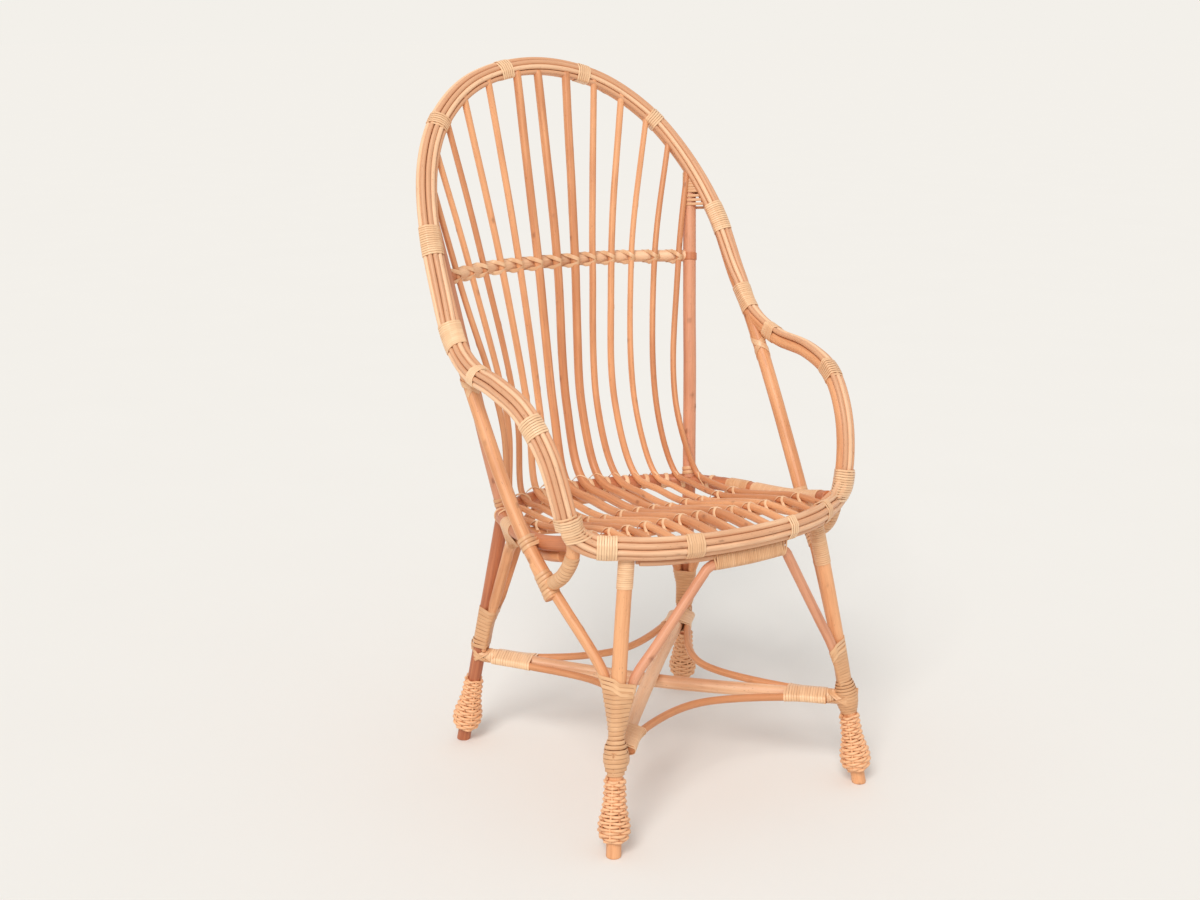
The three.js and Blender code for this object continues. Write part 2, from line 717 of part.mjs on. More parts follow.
const railBraceDrop = (SEAT_RAIL_DIAMETER + BRACE_DIAMETER) / 2 + CLEARANCE;
const rearBrace = stick(bend(trapezoid(
  intoJoint(legs.rear_left, REAR_JOINT_Z, BRACE_DIAMETER, at(-1, 0, 0)),
  REAR_BRACE_HALF_TOP,
  seatRail,
  railBraceDrop,
  0,
)), BRACE_DIAMETER);
add('rear_brace', fitted(rearBrace, [seatRail]), colours.stick);

function underRail(y) {
  const place = crossing(seatRail.path, 'y', y);
  place.x -= SIDE_BRACE_INSET;
  place.z -= railBraceDrop;
  return place;
}

function sideBrace(side) {
  const joint = intoJoint(legs.rear_left, REAR_JOINT_Z, BRACE_DIAMETER, at(0, -1, 0));
  const [flare, foot] = joint;
  const corner = underRail(SIDE_BRACE_REAR_Y);
  const down = flare.clone().sub(corner).normalize();
  const points = [
    underRail(SIDE_BRACE_FRONT_Y),
    underRail(SEAT_SIDE_Y),
    underRail(SIDE_BRACE_REAR_Y - BRACE_BEND),
    corner.clone().addScaledVector(down, BRACE_BEND),
    flare,
    foot,
  ];
  return stick(bend(points.map((point) => flip(point, side))), BRACE_DIAMETER);
}

const sideBraces = {};
for (const [name, side] of SIDES) {
  sideBraces[name] = sideBrace(side);
  add(`${name}_side_brace`, fitted(sideBraces[name], [seatRail, hoop]), colours.stick);
}

// Stretchers cross under the seat, bent a little so that one lies on the other
const stretcherRise = (STRETCHER_DIAMETER + CLEARANCE) / 2;

function stretcher(frontLeg, rearLeg, rise) {
  const front = legAxis(frontLeg, STRETCHER_FRONT_Z);
  const rear = legAxis(rearLeg, STRETCHER_REAR_Z);
  const crossed = front.clone().lerp(rear, front.x / (front.x - rear.x)).addScaledVector(UP, rise);
  return stick(bend([front, crossed, rear], LONG_SPAN_STEPS), STRETCHER_DIAMETER);
}

const stretchers = {
  left: stretcher(legs.front_left, legs.rear_right, -stretcherRise),
  right: stretcher(legs.front_right, legs.rear_left, stretcherRise),
};

const underOther = body(stretchers.left, CLEARANCE);
add('front_left_stretcher', trimmed(body(stretchers.left), legRooms), colours.stick);
add('front_right_stretcher', trimmed(body(stretchers.right), [...legRooms, underOther]), colours.stick);

// Bows spring from one stretcher end to the next, curving in towards the crossing
function endAndCrossing(piece, index) {
  const points = piece.path.points;
  return [points.at(index), points[(points.length - 1) / 2]];
}

const stretcherEnds = {
  front_left: endAndCrossing(stretchers.left, 0),
  rear_right: endAndCrossing(stretchers.left, -1),
  front_right: endAndCrossing(stretchers.right, 0),
  rear_left: endAndCrossing(stretchers.right, -1),
};

function besideStretcher(endName, towards, along, spread) {
  const [end, crossed] = stretcherEnds[endName];
  const inward = crossed.clone().sub(end).normalize();
  const beside = at(-inward.y, inward.x, 0).normalize();
  if (beside.dot(towards) < 0) beside.negate();
  const reach = (STRETCHER_DIAMETER + BOW_DIAMETER) / 2 + CLEARANCE + spread;
  return end.clone().addScaledVector(inward, along).addScaledVector(beside, reach);
}

function bow(fromEnd, toEnd, apex) {
  const first = besideStretcher(fromEnd, apex, BOW_STRAIGHT, BOW_SPREAD);
  const last = besideStretcher(toEnd, apex, BOW_STRAIGHT, BOW_SPREAD);
  const middle = apex.clone().setZ((first.z + last.z) / 2);
  return stick(bend([
    besideStretcher(fromEnd, apex, BOW_LEG_GAP, 0),
    first,
    middle,
    last,
    besideStretcher(toEnd, apex, BOW_LEG_GAP, 0),
  ], LONG_SPAN_STEPS), BOW_DIAMETER, THIN_SIDES);
}

const bows = {
  front: bow('front_right', 'front_left', at(0, FRONT_BOW_Y, 0)),
  left: bow('front_left', 'rear_left', at(SIDE_BOW_X, 0, 0)),
  rear: bow('rear_left', 'rear_right', at(0, REAR_BOW_Y, 0)),
  right: bow('rear_right', 'front_right', at(-SIDE_BOW_X, 0, 0)),
};
for (const [name, piece] of Object.entries(bows)) {
  add(`${name}_bow`, fitted(piece, [stretchers.left, stretchers.right]), colours.stick);
}

// Where a stick crosses a plane square to a winding's axis; past its end it tapers into the axis
function sectionOf(piece, origin, axis) {
  const points = piece.path.points;
  const heights = points.map((point) => point.clone().sub(origin).dot(axis));
  let nearest = null;
  for (let i = 1; i < points.length; i += 1) {
    if (heights[i - 1] * heights[i] > 0 || heights[i - 1] === heights[i]) continue;
    const share = heights[i - 1] / (heights[i - 1] - heights[i]);
    const centre = points[i - 1].clone().lerp(points[i], share);
    const away = centre.distanceTo(origin);
    if (nearest && nearest.away < away) continue;
    const tilt = Math.abs(heights[i] - heights[i - 1]) / points[i].distanceTo(points[i - 1]);
    nearest = { centre, away, radius: piece.diameter / 2 / tilt };
  }
  if (nearest && nearest.away < BUNDLE_REACH) return nearest;

  const last = points.length - 1;
  const tip = points[0].distanceTo(origin) < points[last].distanceTo(origin) ? 0 : last;
  const left = 1 - Math.abs(heights[tip]) / JOINT_TAPER;
  if (left <= 0) return null;
  const level = points[tip].clone().addScaledVector(axis, -heights[tip]);
  return { centre: origin.clone().lerp(level, left), radius: (piece.diameter / 2) * left };
}

// A flat skein wound helically round a bundle of sticks, as one unbroken strip
function winding(from, to, bundle) {
  const axis = to.clone().sub(from);
  const length = axis.length() - SKEIN_WIDTH;
  axis.normalize();
  const sideways = at(axis.y, -axis.x, 0);
  if (sideways.length() < 0.5) sideways.set(1, 0, 0);
  sideways.addScaledVector(axis, -sideways.dot(axis)).normalize();
  const upward = axis.clone().cross(sideways);
  const turns = Math.floor(length / (SKEIN_WIDTH + SKEIN_GAP));
  const count = turns * SKEIN_STEPS;
  const lift = CLEARANCE + SKEIN_THICKNESS / 2;
  const swell = 1 / Math.cos(Math.PI / SKEIN_STEPS);

  function touch(place) {
    const angle = (2 * Math.PI * place) / SKEIN_STEPS;
    const out = sideways.clone().multiplyScalar(Math.cos(angle)).addScaledVector(upward, Math.sin(angle));
    const origin = from.clone().addScaledVector(axis, SKEIN_WIDTH / 2 + (length * place) / count);
    let best = null;
    for (const piece of bundle) {
      for (const edge of [-SKEIN_WIDTH / 2, 0, SKEIN_WIDTH / 2]) {
        const level = origin.clone().addScaledVector(axis, edge);
        const section = sectionOf(piece, level, axis);
        if (!section) continue;
        const offset = section.centre.clone().sub(level);
        const reach = offset.dot(out) + section.radius;
        if (!best || reach > best.reach) best = { offset, radius: section.radius, reach, piece };
      }
    }
    const centre = origin.add(best.offset).addScaledVector(out, (best.radius + lift) * swell);
    return { centre, out, piece: best.piece };
  }

  const strip = [touch(0)];
  for (let place = 1; place <= count; place += 1) {
    const next = touch(place);
    const last = strip[strip.length - 1];
    if (next.piece !== last.piece) {
      let low = place - 1;
      let high = place;
      for (let i = 0; i < CHANGE_SEARCH_STEPS; i += 1) {
        const middle = (low + high) / 2;
        if (touch(middle).piece === last.piece) low = middle;
        else high = middle;
      }
      strip.push(touch(low), touch(high));
    }
    strip.push(next);
  }
  return { strip, axis };
}

function stripGeometry({ strip, axis }) {
  const positions = [];
  for (const { centre, out } of strip) {
    for (const [along, through] of [[-1, -1], [1, -1], [1, 1], [-1, 1]]) {
      const corner = centre.clone()
        .addScaledVector(axis, (along * SKEIN_WIDTH) / 2)
        .addScaledVector(out, (through * SKEIN_THICKNESS) / 2);
      positions.push(...corner.toArray());
    }
  }
  const index = [0, 2, 1, 0, 3, 2];
  for (let i = 0; i + 1 < strip.length; i += 1) {
    for (let k = 0; k < 4; k += 1) {
      const a = i * 4 + k;
      const b = i * 4 + ((k + 1) % 4);
      index.push(a, b, a + 4, b, b + 4, a + 4);
    }
  }
  const end = (strip.length - 1) * 4;
  index.push(end, end + 1, end + 2, end, end + 2, end + 3);
  const geometry = new THREE.BufferGeometry();
  geometry.setAttribute('position', new THREE.Float32BufferAttribute(positions, 3));
  geometry.setIndex(index);
  geometry.computeVertexNormals();
  return geometry;
}

function leastGap({ strip, axis }) {
  let least = Infinity;
  for (let i = 0; i < strip.length; i += 1) {
    for (let j = i + SKEIN_STEPS / 2; j < strip.length; j += 1) {
      const apart = strip[j].centre.clone().sub(strip[i].centre);
      const along = Math.abs(apart.dot(axis)) - SKEIN_WIDTH;
      const across = apart.addScaledVector(axis, -apart.dot(axis)).length() - SKEIN_THICKNESS;
      least = Math.min(least, Math.hypot(Math.max(along, 0), Math.max(across, 0)));
    }
  }
  return least;
}

function addWinding(name, from, to, bundle) {
  const wound = winding(from, to, bundle);
  console.log(`${name}: least gap ${leastGap(wound).toFixed(2)} mm`);
  add(name, stripGeometry(wound), colours.skein, 0.45);
}

function jointWinding(name, leg, z, bundle) {
  addWinding(name, legAxis(leg, z + JOINT_WRAP_TOP), legAxis(leg, z - JOINT_WRAP_LOW), [leg, ...bundle]);
}

for (const [name] of SIDES) {
  jointWinding(`front_${name}_joint_winding`, legs[`front_${name}`], FRONT_JOINT_Z, [hoop, frontBrace]);
  const rearBundle = [sideBraces[name], rearBrace];
  jointWinding(`rear_${name}_joint_winding`, legs[`rear_${name}`], REAR_JOINT_Z, rearBundle);
}

const apronZ = SEAT_FRONT_Z - frontBraceDrop;
addWinding(
  'front_apron_winding',
  at(FRONT_BRACE_SHIFT - APRON_WRAP_HALF_LENGTH, SEAT_FRONT_Y, apronZ),
  at(FRONT_BRACE_SHIFT + APRON_WRAP_HALF_LENGTH, SEAT_FRONT_Y, apronZ),
  [frontBrace, underRod],
);

const bowsAt = {
  front_left: [stretchers.left, bows.front, bows.left],
  rear_right: [stretchers.left, bows.rear, bows.right],
  front_right: [stretchers.right, bows.front, bows.right],
  rear_left: [stretchers.right, bows.rear, bows.left],
};
for (const [name, bundle] of Object.entries(bowsAt)) {
  const [end, crossed] = stretcherEnds[name];
  const inward = crossed.clone().sub(end).normalize();
  addWinding(
    `${name}_stretcher_winding`,
    end.clone().addScaledVector(inward, STRETCHER_WRAP_START),
    end.clone().addScaledVector(inward, STRETCHER_WRAP_START + STRETCHER_WRAP_LENGTH),
    bundle,
  );
}

// Origin at the middle of the footprint, on the floor
const box = new THREE.Box3().setFromObject(chair);
const middle = box.getCenter(new THREE.Vector3());
for (const mesh of chair.children) {
  mesh.position.set(-middle.x, -middle.y, -box.min.z);
}

export default chair;
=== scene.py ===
import math

import bpy
import numpy as np
from numpy.linalg import norm
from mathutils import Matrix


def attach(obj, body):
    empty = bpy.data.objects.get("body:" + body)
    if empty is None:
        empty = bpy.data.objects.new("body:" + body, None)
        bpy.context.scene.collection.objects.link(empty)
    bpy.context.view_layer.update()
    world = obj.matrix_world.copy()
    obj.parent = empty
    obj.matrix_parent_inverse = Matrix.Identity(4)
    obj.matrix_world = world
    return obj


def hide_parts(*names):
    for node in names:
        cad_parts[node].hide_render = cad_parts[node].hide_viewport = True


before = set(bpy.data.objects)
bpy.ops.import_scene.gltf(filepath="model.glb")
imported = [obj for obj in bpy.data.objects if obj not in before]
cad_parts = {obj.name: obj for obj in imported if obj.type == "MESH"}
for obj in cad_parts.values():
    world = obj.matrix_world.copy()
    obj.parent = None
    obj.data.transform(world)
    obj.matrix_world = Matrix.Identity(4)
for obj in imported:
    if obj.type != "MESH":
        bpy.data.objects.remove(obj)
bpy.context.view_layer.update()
mm = 0.001  # sizes below are in millimetres, meshes in metres
ringStep = 4.0  # between the points along a stick
xAxis, yAxis, up = np.eye(3)
dice = np.random.default_rng(7)
print("frame loaded:", len(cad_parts), "nodes")


# Lines

def spot(x, y, z):
    return np.array((x, y, z), float)


def flip(points):
    return np.asarray(points) * (-1, 1, 1)


sides = {"right": flip, "left": np.asarray}  # what turns points on the sitter's left into each side's


def mirrored(half):  # half runs from the middle out to the sitter's left
    return [flip(p) for p in half[:0:-1]] + list(half)


def unit(v):  # one vector or rows of them
    return v / norm(v, axis=-1, keepdims=True)


def runOf(line):
    return np.concatenate(([0.0], np.cumsum(norm(np.diff(line, axis=0), axis=1))))


def pointAt(line, distance):
    run = runOf(line)
    return np.stack([np.interp(distance, run, line[:, k]) for k in range(3)], axis=-1)


def even(line, step=ringStep):
    length = runOf(line)[-1]
    return pointAt(line, np.linspace(0, length, max(2, round(length / step) + 1)))


def between(first, last, low, high, t):
    return ((high - t) * first + (t - low) * last) / (high - low)


def bend(points, step=ringStep, spanSteps=24):  # one smooth centripetal curve through the points
    ends = [2 * points[0] - points[1], *points, 2 * points[-1] - points[-2]]
    line = []
    for p0, p1, p2, p3 in zip(ends, ends[1:], ends[2:], ends[3:]):
        t1 = math.sqrt(norm(p1 - p0))
        t2 = t1 + math.sqrt(norm(p2 - p1))
        t3 = t2 + math.sqrt(norm(p3 - p2))
        for t in np.linspace(t1, t2, spanSteps, endpoint=False):
            a1 = between(p0, p1, 0, t1, t)
            a2 = between(p1, p2, t1, t2, t)
            a3 = between(p2, p3, t2, t3, t)
            b1 = between(a1, a2, 0, t2, t)
            b2 = between(a2, a3, t1, t3, t)
            line.append(between(b1, b2, t1, t2, t))
    line.append(points[-1])
    return even(np.array(line), step)


def crossing(line, axis, value):  # searched from the line's far end
    gap = line[:, axis] - value
    for i in range(len(line) - 1, 0, -1):
        if gap[i] * gap[i - 1] <= 0 and gap[i] != gap[i - 1]:
            return line[i] + (line[i - 1] - line[i]) * gap[i] / (gap[i] - gap[i - 1])
    raise ValueError(f"no point at {value} on axis {axis}")


def within(line, low, high):
    inner = line[(line[:, 0] > low) & (line[:, 0] < high)]
    return np.vstack([crossing(line, 0, low), inner, crossing(line, 0, high)])


def squareTo(line, x, heading):
    along = crossing(line, 0, x + 1) - crossing(line, 0, x - 1)
    square = unit(spot(-along[1], along[0], 0))
    return -square if square @ heading < 0 else square


def tangents(line):
    return unit(np.gradient(line, axis=0))


def sway(count, reach, waves=3):  # a slow random drift
    s = np.linspace(0, 1, count)
    drift = np.zeros(count)
    for wave in range(1, waves + 1):
        drift += np.sin(2 * math.pi * (wave * s * dice.uniform(0.8, 1.6) + dice.uniform())) / wave
    return reach * drift / 1.8


class Stick:
    def __init__(self, line, diameter, taper=0.0, wander=0.0):
        self.line = np.asarray(line, float)
        count = len(self.line)
        self.radii = diameter / 2 * np.linspace(1 + taper, 1 - taper, count)
        if wander:
            fade = np.sin(np.linspace(0, math.pi, count)) ** 0.5
            for axis in range(3):
                self.line[:, axis] += sway(count, wander, max(2, count // 45)) * fade
        self.run = runOf(self.line)
        self.length = self.run[-1]

    def at(self, distance):
        return pointAt(self.line, distance)

    def nearest(self, place):
        return self.run[np.argmin(norm(self.line - place, axis=1))]

    def rings(self, ends=("sawn", "sawn")):
        chamfer = np.array((0.0, 0.3, 1.0, 2.2))
        spans = round((self.length - 2 * ringStep) / ringStep)
        inner = np.linspace(ringStep, self.length - ringStep, spans + 1)
        places = np.concatenate((chamfer, inner, self.length - chamfer[::-1]))
        radii = np.interp(places, self.run, self.radii)
        for kind, away in zip(ends, (places, self.length - places)):
            reach, least = {"sawn": (1.0, 0.86), "round": (5.0, 0.2)}[kind]
            share = np.clip(away / reach, 0, 1)
            radii *= least + (1 - least) * np.sqrt(1 - (1 - share) ** 2)
        return self.at(places), radii


# Node graphs

class Wire:  # an output socket, with arithmetic that adds Math nodes
    def __init__(self, graph, socket):
        self.graph = graph
        self.socket = socket

    def other(self, name):
        return Wire(self.graph, self.socket.node.outputs[name])

    def __add__(self, other):
        return self.graph.math("ADD", self, other)

    def __sub__(self, other):
        return self.graph.math("SUBTRACT", self, other)

    def __rsub__(self, other):
        return self.graph.math("SUBTRACT", other, self)

    def __mul__(self, other):
        return self.graph.math("MULTIPLY", self, other)

    def __truediv__(self, other):
        return self.graph.math("DIVIDE", self, other)

    def __rtruediv__(self, other):
        return self.graph.math("DIVIDE", other, self)

    __radd__ = __add__
    __rmul__ = __mul__


class Graph:  # adds nodes to one tree
    def __init__(self, tree):
        self.tree = tree

    def node(self, kind, sockets=None, out=0, **settings):
        made = self.tree.nodes.new(kind)
        for key, value in settings.items():
            setattr(made, key, value)
        for key, value in (sockets or {}).items():
            if isinstance(value, Wire):
                self.tree.links.new(value.socket, made.inputs[key])
            else:
                made.inputs[key].default_value = value
        return Wire(self, made.outputs[out]) if made.outputs else None

    def math(self, operation, *values):
        return self.node("ShaderNodeMath", dict(enumerate(values)), operation=operation)

    def keep(self, geometry, name, value, kind="FLOAT", domain="POINT"):
        sockets = {0: geometry, "Name": name, "Value": value}
        return self.node("GeometryNodeStoreNamedAttribute", sockets, data_type=kind, domain=domain)

    def read(self, name, kind="FLOAT"):  # in a shape tree
        return self.node("GeometryNodeInputNamedAttribute", {"Name": name}, data_type=kind)

    def attribute(self, name, out="Fac"):  # in a finish
        return self.node("ShaderNodeAttribute", out=out, attribute_name=name)

    def vector(self, x, y, z):
        return self.node("ShaderNodeCombineXYZ", {0: x, 1: y, 2: z})

    def parts(self, vector):
        return self.node("ShaderNodeSeparateXYZ", {0: vector})

    def noise(self, vector, scale=1.0, detail=2.0):
        return self.node("ShaderNodeTexNoise", {"Vector": vector, "Scale": scale, "Detail": detail})

    def ease(self, value, low, high, least=0.0, most=1.0):
        sockets = {0: value, 1: low, 2: high, 3: least, 4: most}
        return self.node("ShaderNodeMapRange", sockets, interpolation_type="SMOOTHSTEP")

    def mix(self, share, first, second):
        return self.node("ShaderNodeMix", {0: share, 6: first, 7: second}, 2, data_type="RGBA")

    def stretch(self, vector, scales):
        return self.node("ShaderNodeVectorMath", {0: vector, 1: scales}, operation="MULTIPLY")

    def surface(self, sockets):
        shader = self.node("ShaderNodeBsdfPrincipled", sockets)
        self.node("ShaderNodeOutputMaterial", {"Surface": shader})


def shapeTree(name, inputs):
    tree = bpy.data.node_groups.new(name, "GeometryNodeTree")
    tree.interface.new_socket("Geometry", in_out="INPUT", socket_type="NodeSocketGeometry")
    kinds = {int: "NodeSocketInt", float: "NodeSocketFloat", type(None): "NodeSocketMaterial"}
    for key, value in inputs.items():
        made = tree.interface.new_socket(key, in_out="INPUT", socket_type=kinds[type(value)])
        if value is not None:
            made.default_value = value
    tree.interface.new_socket("Geometry", in_out="OUTPUT", socket_type="NodeSocketGeometry")
    graph = Graph(tree)
    return graph, graph.node("NodeGroupInput")


def curveFrom(g, given):
    return g.node("GeometryNodeMeshToCurve", {0: given})


def swept(g, curve, profile):  # the profile along the curve, and how far along it each point is
    curve = g.keep(curve, "along", g.node("GeometryNodeSplineParameter", out="Length"))
    sockets = {"Curve": curve, "Profile Curve": profile, "Scale": g.read("thick"), "Fill Caps": True}
    return g.node("GeometryNodeCurveToMesh", sockets), g.read("along") + g.read("tone") * 9.0


def finishTree(g, mesh, smooth, material):
    mesh = g.node("GeometryNodeSetShadeSmooth", {0: mesh, "Shade Smooth": smooth})
    whole = g.node("GeometryNodeRealizeInstances", {0: mesh})
    dressed = g.node("GeometryNodeSetMaterial", {0: whole, "Material": material})
    g.node("NodeGroupOutput", {0: dressed})
    return g.tree


def buildStickTree():
    inputs = {"Sides": 16, "Knot Height": 0.5 * mm, "Knot Share": 0.1, "Ripple": 0.3 * mm, "Material": None}
    g, given = shapeTree("roundStick", inputs)
    sockets = {"Resolution": given.other("Sides"), "Radius": 1.0}
    ring = g.node("GeometryNodeCurvePrimitiveCircle", sockets)
    ring = g.keep(ring, "ring", g.node("GeometryNodeInputPosition"), "FLOAT_VECTOR")
    mesh, along = swept(g, curveFrom(g, given), ring)
    around = g.parts(g.read("ring", "FLOAT_VECTOR"))
    thick = g.read("thick")
    grain = g.vector(along, around * thick, around.other("Y") * thick)
    mesh = g.keep(mesh, "grain", grain, "FLOAT_VECTOR")

    # bud scars: a few cells of a field wrapped round the stick swell
    field = g.vector(along * 48.0, around * 0.7, around.other("Y") * 0.7)
    cells = g.node("ShaderNodeTexVoronoi", {"Vector": field, "Scale": 1.0})
    pick = g.parts(cells.other("Color"))
    chosen = g.math("LESS_THAN", pick, given.other("Knot Share"))
    mesh = g.keep(mesh, "knot", g.ease(cells, 0.05, 0.34, 1.0, 0.0) * chosen)
    swell = g.noise(g.vector(along * 9.0, around * 0.6, around.other("Y") * 0.6))
    lift = g.read("knot") * given.other("Knot Height") + (swell - 0.5) * given.other("Ripple")
    sockets = {0: g.node("GeometryNodeInputNormal"), "Scale": lift}
    offset = g.node("ShaderNodeVectorMath", sockets, operation="SCALE")
    mesh = g.node("GeometryNodeSetPosition", {0: mesh, "Offset": offset})

    # the end caps are the only faces with more than four corners
    sockets = {2: g.node("GeometryNodeInputMeshFaceNeighbors"), 3: 4}
    cut, side = (g.node("FunctionNodeCompare", sockets, data_type="INT", operation=operation)
                 for operation in ("GREATER_THAN", "LESS_EQUAL"))
    mesh = g.keep(mesh, "cut", cut, domain="FACE")
    return finishTree(g, mesh, side, given.other("Material"))


def buildSkeinTree():
    g, given = shapeTree("flatSkein", {"Width": 6 * mm, "Thickness": 1 * mm, "Material": None})
    sockets = {0: curveFrom(g, given), "Normal": g.read("outward", "FLOAT_VECTOR")}
    curve = g.node("GeometryNodeSetCurveNormal", sockets, mode="FREE")
    width, thickness = given.other("Width"), given.other("Thickness")
    strip = g.node("GeometryNodeCurvePrimitiveQuadrilateral", {"Width": thickness, "Height": width})
    sockets = {0: strip, "Count": 2, "Radius": thickness * 0.45}
    strip = g.node("GeometryNodeFilletCurve", sockets, mode="POLY")
    strip = g.keep(strip, "across", g.parts(g.node("GeometryNodeInputPosition")).other("Y"))
    mesh, along = swept(g, curve, strip)
    across = g.read("across")
    mesh = g.keep(mesh, "grain", g.vector(along, across, g.read("tone")), "FLOAT_VECTOR")
    # the edge mask, which the skein finishes darken as painted shade between the turns
    mesh = g.keep(mesh, "edge", g.ease(g.math("ABSOLUTE", across) / width, 0.36, 0.5))
    return finishTree(g, mesh, True, given.other("Material"))


stickTree = buildStickTree()
skeinTree = buildSkeinTree()


def lineMesh(name, lines):
    spots, edges, values = [], [], {"thick": [], "tone": [], "outward": []}
    for line in lines:
        first, count = len(spots), len(line["path"])
        spots.extend(map(tuple, line["path"] * mm))
        edges.extend((i, i + 1) for i in range(first, first + count - 1))
        for key, kept in values.items():
            shape = (count, 3) if key == "outward" else count
            kept.append(np.broadcast_to(line.get(key, up), shape).ravel())
    mesh = bpy.data.meshes.new(name)
    mesh.from_pydata(spots, edges, [])
    for key, kept in values.items():
        kind, field = ("FLOAT_VECTOR", "vector") if key == "outward" else ("FLOAT", "value")
        data = np.concatenate(kept).astype(np.float32)
        mesh.attributes.new(key, kind, "POINT").data.foreach_set(field, data)
    return mesh


def addObject(name, data):
    made = bpy.data.objects.new(name, data)
    bpy.context.scene.collection.objects.link(made)
    return made


def grow(name, lines, tree, inputs):  # runs a shape tree over lines and keeps the plain mesh
    piece = addObject(name, lineMesh(name + "Lines", lines))
    modifier = piece.modifiers.new("shape", "NODES")
    modifier.node_group = tree
    for item in tree.interface.items_tree:
        if item.in_out == "INPUT" and item.name in inputs:
            modifier[item.identifier] = inputs[item.name]
    depsgraph = bpy.context.evaluated_depsgraph_get()
    evaluated = piece.evaluated_get(depsgraph)
    plain = bpy.data.meshes.new_from_object(evaluated, preserve_all_data_layers=True, depsgraph=depsgraph)
    piece.modifiers.clear()
    bare = piece.data
    piece.data = plain
    plain.name = name
    bpy.data.meshes.remove(bare)
    return piece


def settle(piece, nodes):
    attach(piece, "root")
    if nodes:
        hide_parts(*nodes)
    piece.data.calc_loop_triangles()
    print(f"{piece.name}: {len(piece.data.loop_triangles)} triangles")
    return piece


# knot is the height of a bud scar, knots their share of the cells
stickLook = {"sides": 20, "knot": 0.7, "knots": 0.08, "ripple": 1.0}


def growRound(name, lines, look, slot, nodes, material=None):
    look = stickLook | look
    inputs = {"Sides": look["sides"], "Knot Height": look["knot"] * mm, "Ripple": look["ripple"] * mm,
              "Knot Share": look["knots"], "Material": material or finishes[slot]}
    return settle(grow(name, lines, stickTree, inputs), nodes)


def growSticks(name, sticks, look, slot, nodes, material=None, ends=("sawn", "sawn")):
    lines = []
    for stick in sticks:
        path, radii = stick.rings(ends)
        lines.append({"path": path, "thick": radii * mm, "tone": dice.uniform()})
    return growRound(name, lines, look, slot, nodes, material)


def growFlat(name, lines, width, thickness, nodes, material):
    inputs = {"Width": width * mm, "Thickness": thickness * mm, "Material": material}
    settle(grow(name, lines, skeinTree, inputs), nodes)


def tagged(names, ending):
    return [name + ending for name in names]


# Finishes

def srgb(*screen):  # screen colour to scene colour
    shares = [c / 255 for c in screen]
    return (*(c / 12.92 if c <= 0.04045 else ((c + 0.055) / 1.055) ** 2.4 for c in shares), 1.0)


def freshGraph(owner):  # an empty tree on a material or the world
    owner.use_nodes = True
    owner.node_tree.nodes.clear()
    return Graph(owner.node_tree)


def barkMarks(g, grain, colour, look):  # flecks, bud scars and the rings of sawn ends, which are rougher
    flecks = g.noise(g.stretch(grain, (160, 700, 700)), detail=1.0)
    colour = g.mix(g.ease(flecks, 0.70, 0.78) * 0.5, colour, look["dark"])
    colour = g.mix(g.attribute("knot") * 0.75, colour, look["dark"])
    cut, ring = g.attribute("cut"), g.attribute("ring", "Vector")
    wave = g.node("ShaderNodeVectorMath", {0: ring}, "Value", operation="LENGTH") * 22.0
    pith = g.ease(g.math("SINE", wave), -1.0, 1.0, 0.35, 0.6)
    return g.mix(cut * pith, colour, look["end"]), cut * 0.25


def edgeShade(g, grain, colour, look):  # painted shade along the strip's edges, where the turns meet
    return g.mix(g.attribute("edge") * look["edge"], colour, look["dark"]), 0.0


def grainFinish(name, look, marks):
    material = bpy.data.materials.new(name)
    g = freshGraph(material)
    grain = g.attribute("grain", "Vector")
    fibre = g.noise(g.stretch(grain, look["fibreScale"]), detail=4.0)
    streak = g.noise(g.stretch(grain, look["streakScale"]), detail=look["streakDetail"])
    cloud = g.noise(g.stretch(grain, look["cloudScale"]))
    drift = streak * look["streaks"] + cloud * (1 - look["streaks"])
    share = g.ease(drift + (g.attribute("tone") - 0.5) * look["spread"], *look["deepFrom"])
    colour = g.mix(share, look["pale"], look["deep"])
    colour = g.mix(g.ease(fibre, *look["darkFrom"]) * 0.35, colour, look["dark"])
    colour, rougher = marks(g, grain, colour, look)
    height = fibre * look["fibreHeight"] + streak * look["streakHeight"]
    bump = {"Strength": look["bump"], "Distance": look["bumpDepth"] * mm, "Height": height}
    g.surface({"Base Color": colour, "Roughness": look["rough"] + fibre * look["fibreRough"] + rougher,
               "Normal": g.node("ShaderNodeBump", bump),
               "Coat Weight": look["coat"], "Coat Roughness": look["coatRough"]})
    return material


barkLook = {
    "dark": srgb(128, 70, 40), "end": srgb(196, 128, 84), "spread": 0.30, "rough": 0.40,
    "fibreScale": (45, 1900, 1900), "streakScale": (5, 260, 260), "cloudScale": (11, 45, 45),
    "streakDetail": 3.0, "streaks": 0.55, "deepFrom": (0.32, 0.68), "darkFrom": (0.52, 0.75),
    "fibreRough": 0.16, "fibreHeight": 0.7, "streakHeight": 0.5, "bump": 0.35, "bumpDepth": 0.25,
    "coat": 0.10, "coatRough": 0.35,
}
palmLook = {
    "dark": srgb(150, 94, 58), "spread": 0.25, "rough": 0.36,
    "fibreScale": (40, 2600, 40), "streakScale": (9, 520, 9), "cloudScale": (28, 60, 5),
    "streakDetail": 2.0, "streaks": 0.45, "deepFrom": (0.30, 0.70), "darkFrom": (0.55, 0.78),
    "fibreRough": 0.14, "fibreHeight": 1.0, "streakHeight": 0.6, "bump": 0.3, "bumpDepth": 0.2,
    "coat": 0.12, "coatRough": 0.3,
}


def bark(name, pale, deep, **changes):
    look = barkLook | {"pale": srgb(*pale), "deep": srgb(*deep)} | changes
    return grainFinish(name, look, barkMarks)


# edge sets how dark the painted shade along the strip edges is
def palm(name, pale, deep, edge):
    look = palmLook | {"pale": srgb(*pale), "deep": srgb(*deep), "edge": edge}
    return grainFinish(name, look, edgeShade)


